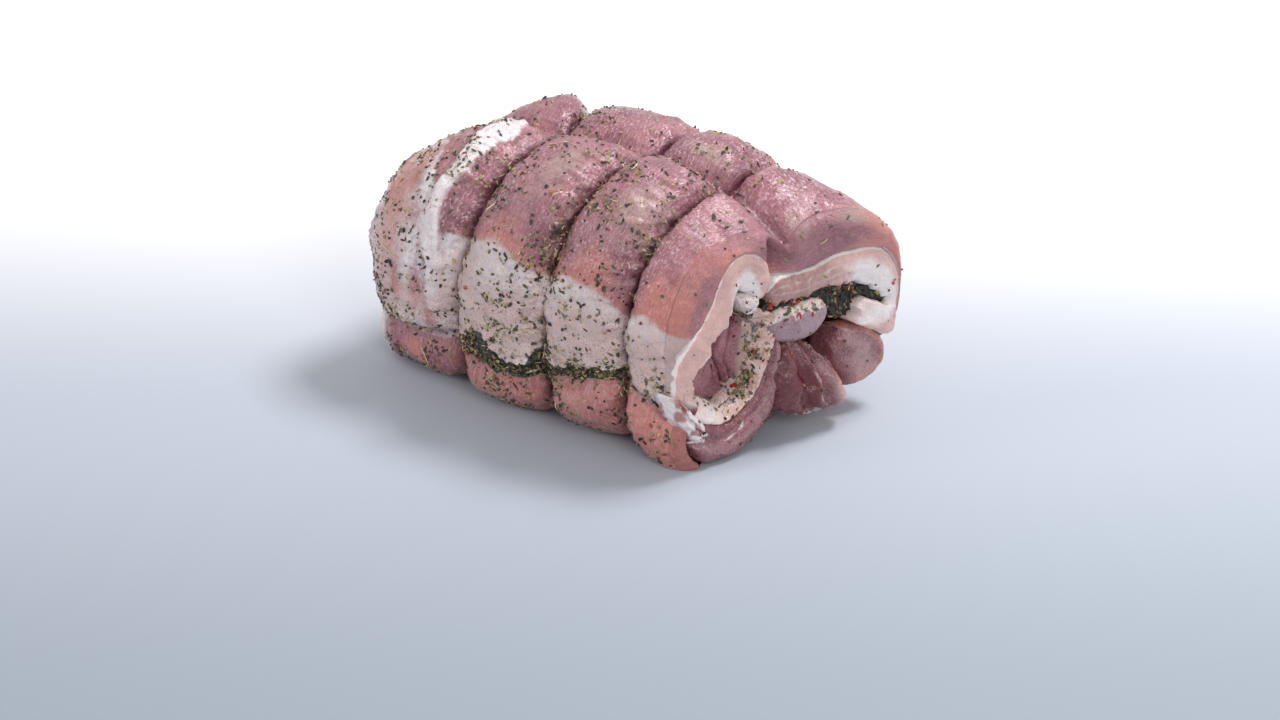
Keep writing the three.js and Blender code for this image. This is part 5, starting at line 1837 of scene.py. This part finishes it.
@dataclass
class Studio:
    """The camera, soft lights, pale worktop and white surroundings."""

    placing: Placing
    camera_mm: tuple[float, float, float] = (1086.61, -1390.80, 879)
    down_deg: float = 26.2
    turn_deg: float = 38.0
    lens_mm: float = 129.0
    lights: tuple[Softbox, ...] = (
        Softbox("key_from_above", (0.25, 0.55, 1.15), (0, 0, 0.04), (0.42, 0.34), 13, "#fdfcff"),
        Softbox("left_front_window", (-0.8, -1.15, 0.75), (0, 0, 0.05), (0.5, 0.4), 4.1, "#fbfbff"),
        Softbox("right_front_fill", (1.1, -0.75, 0.75), (0, 0, 0.05), (0.6, 0.5), 7, "#fffaf6"),
    )
    surround: str = "#f4f2f3"
    surround_strength: float = 0.57

    def build(self) -> None:
        """Make everything that isn't part of the roast."""
        scene = bpy.context.scene
        camera = bpy.data.cameras.new("camera")
        camera.lens = self.lens_mm
        camera.sensor_width = 36
        camera.clip_end = 50
        holder = bpy.data.objects.new("camera", camera)
        holder.location = Vector(self.placing.to_frame(np.array(self.camera_mm)))
        holder.rotation_euler = Euler(np.radians([90 - self.down_deg, 0, self.turn_deg]))
        scene.collection.objects.link(holder)
        scene.camera = holder
        for box in self.lights:
            self._add_light(box)
        world = bpy.data.worlds.new("surround")
        world.use_nodes = True
        background = world.node_tree.nodes["Background"]
        background.inputs["Color"].default_value = linear(self.surround)
        background.inputs["Strength"].default_value = self.surround_strength
        scene.world = world
        scene.view_settings.view_transform = "Standard"
        self._add_floor()

    def _add_light(self, box: Softbox) -> None:
        """Make one area light that looks at its target."""
        light = bpy.data.lights.new(box.name, "AREA")
        light.shape = "RECTANGLE"
        light.size, light.size_y = box.size
        light.energy = box.watts
        light.color = linear(box.colour)[:3]
        holder = bpy.data.objects.new(box.name, light)
        holder.location = box.place
        holder.rotation_euler = (Vector(box.target) - Vector(box.place)).to_track_quat("-Z", "Y").to_euler()
        bpy.context.scene.collection.objects.link(holder)

    def _add_floor(self) -> None:
        """Make the worktop, a flat sheet 6 m across."""
        mesh = bpy.data.meshes.new("worktop")
        mesh.from_pydata([(-3, -3, 0), (3, -3, 0), (3, 3, 0), (-3, 3, 0)], [], [(0, 1, 2, 3)])
        mesh.materials.append(PaintedLightWorktop().build())
        floor = bpy.data.objects.new("worktop", mesh)
        bpy.context.scene.collection.objects.link(floor)


# ---- the whole roast


@dataclass
class Porchetta:
    """The whole roast, built in order over the frame's nodes."""

    form: RollForm = field(default_factory=RollForm)
    # The twine of the solids has five sides, this far from its middle line (mm).
    solid_twine: float = 0.55
    # The pack centres the part's box, which lies this far from the roll's own line (mm).
    shift_y: float = 2.8856

    def placing(self) -> Placing:
        """Give the shift from the roll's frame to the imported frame, read from the second tie's box.

        The tie's loop starts at its own row on the front, half a twine's five-sided width towards -X.
        """
        low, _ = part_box("tie_2")
        lead = self.form.ties[1].row - self.solid_twine * np.cos(np.radians(18))
        return Placing((low.x / MM - lead, self.shift_y, 0))

    def build(self) -> Placing:
        """Make every piece and give the placing that they used."""
        placing = self.placing()
        LOG.info("shift %s", placing.shift_mm)
        skin = OuterSkin(self.form).build(SkinPainting(self.form))
        fat, hollow = CutFat(self.form).build(), HollowLean(self.form).build()
        tongue, lower = Tongue(self.form).build(), LowerLean(self.form).build()
        paste = HerbPaste(self.form).build()
        # The skin and the folds of lean at the cut together stand for the outer lean.
        self._add(placing, "outer_lean_and_belly", skin, OUTER_PORK, "lean", "outer_lean")
        self._add(placing, "lower_lean_folds", lower, LOWER_LEAN, "lean")
        self._add(placing, "cut_fat_layer", fat, BELLY_FAT, "fat", "fat_layer")
        self._add(placing, "hollow_lean_folds", hollow, INNER_LEAN, "inner_lean", "inner_lean_left")
        self._add(placing, "tongue_lean", tongue, TONGUE_LEAN, "inner_lean", "inner_lean_right")
        self._add(placing, "herb_filling_paste", paste, PACKED_HERBS, "herbs", "herb_filling")
        twine = CottonTwine().build()
        for number, tie in enumerate(self.form.ties, start=1):
            loop = placing.make(f"twine_loop_{number}", TwineLoop(self.form, tie).build(), twine)
            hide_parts(f"tie_{number}")
        rub = HerbRub()
        surfaces = [skin, fat, tongue, lower, hollow, paste]
        for index, kind in enumerate(KINDS):
            bits = rub.scattered(surfaces, kind, index, self.form)
            piece = placing.make(kind.name, bits, kind.finish.build(), smooth=False)
        return placing

    @staticmethod
    def _add(placing: Placing, name: str, shell: Shell, finish: RawPork | DryHerb, slot: str,
             node: str | None = None) -> None:
        """Make one piece of the roast.

        Args:
            placing: carries it to the frame.
            name: the piece's name.
            shell: its surface.
            finish: its finish.
            slot: the material slot's name; not used.
            node: the CAD node that it replaces, or none where another piece replaces it.
        """
        piece = placing.make(name, shell, finish.build())
        if node is not None:
            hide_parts(node)


def main() -> None:
    """Load the frame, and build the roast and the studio."""
    logging.basicConfig(level=logging.INFO, format="%(name)s: %(message)s")
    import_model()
    placing = Porchetta().build()
    Studio(placing).build()
    bpy.context.view_layer.update()


if __name__ == "__main__":
    main()
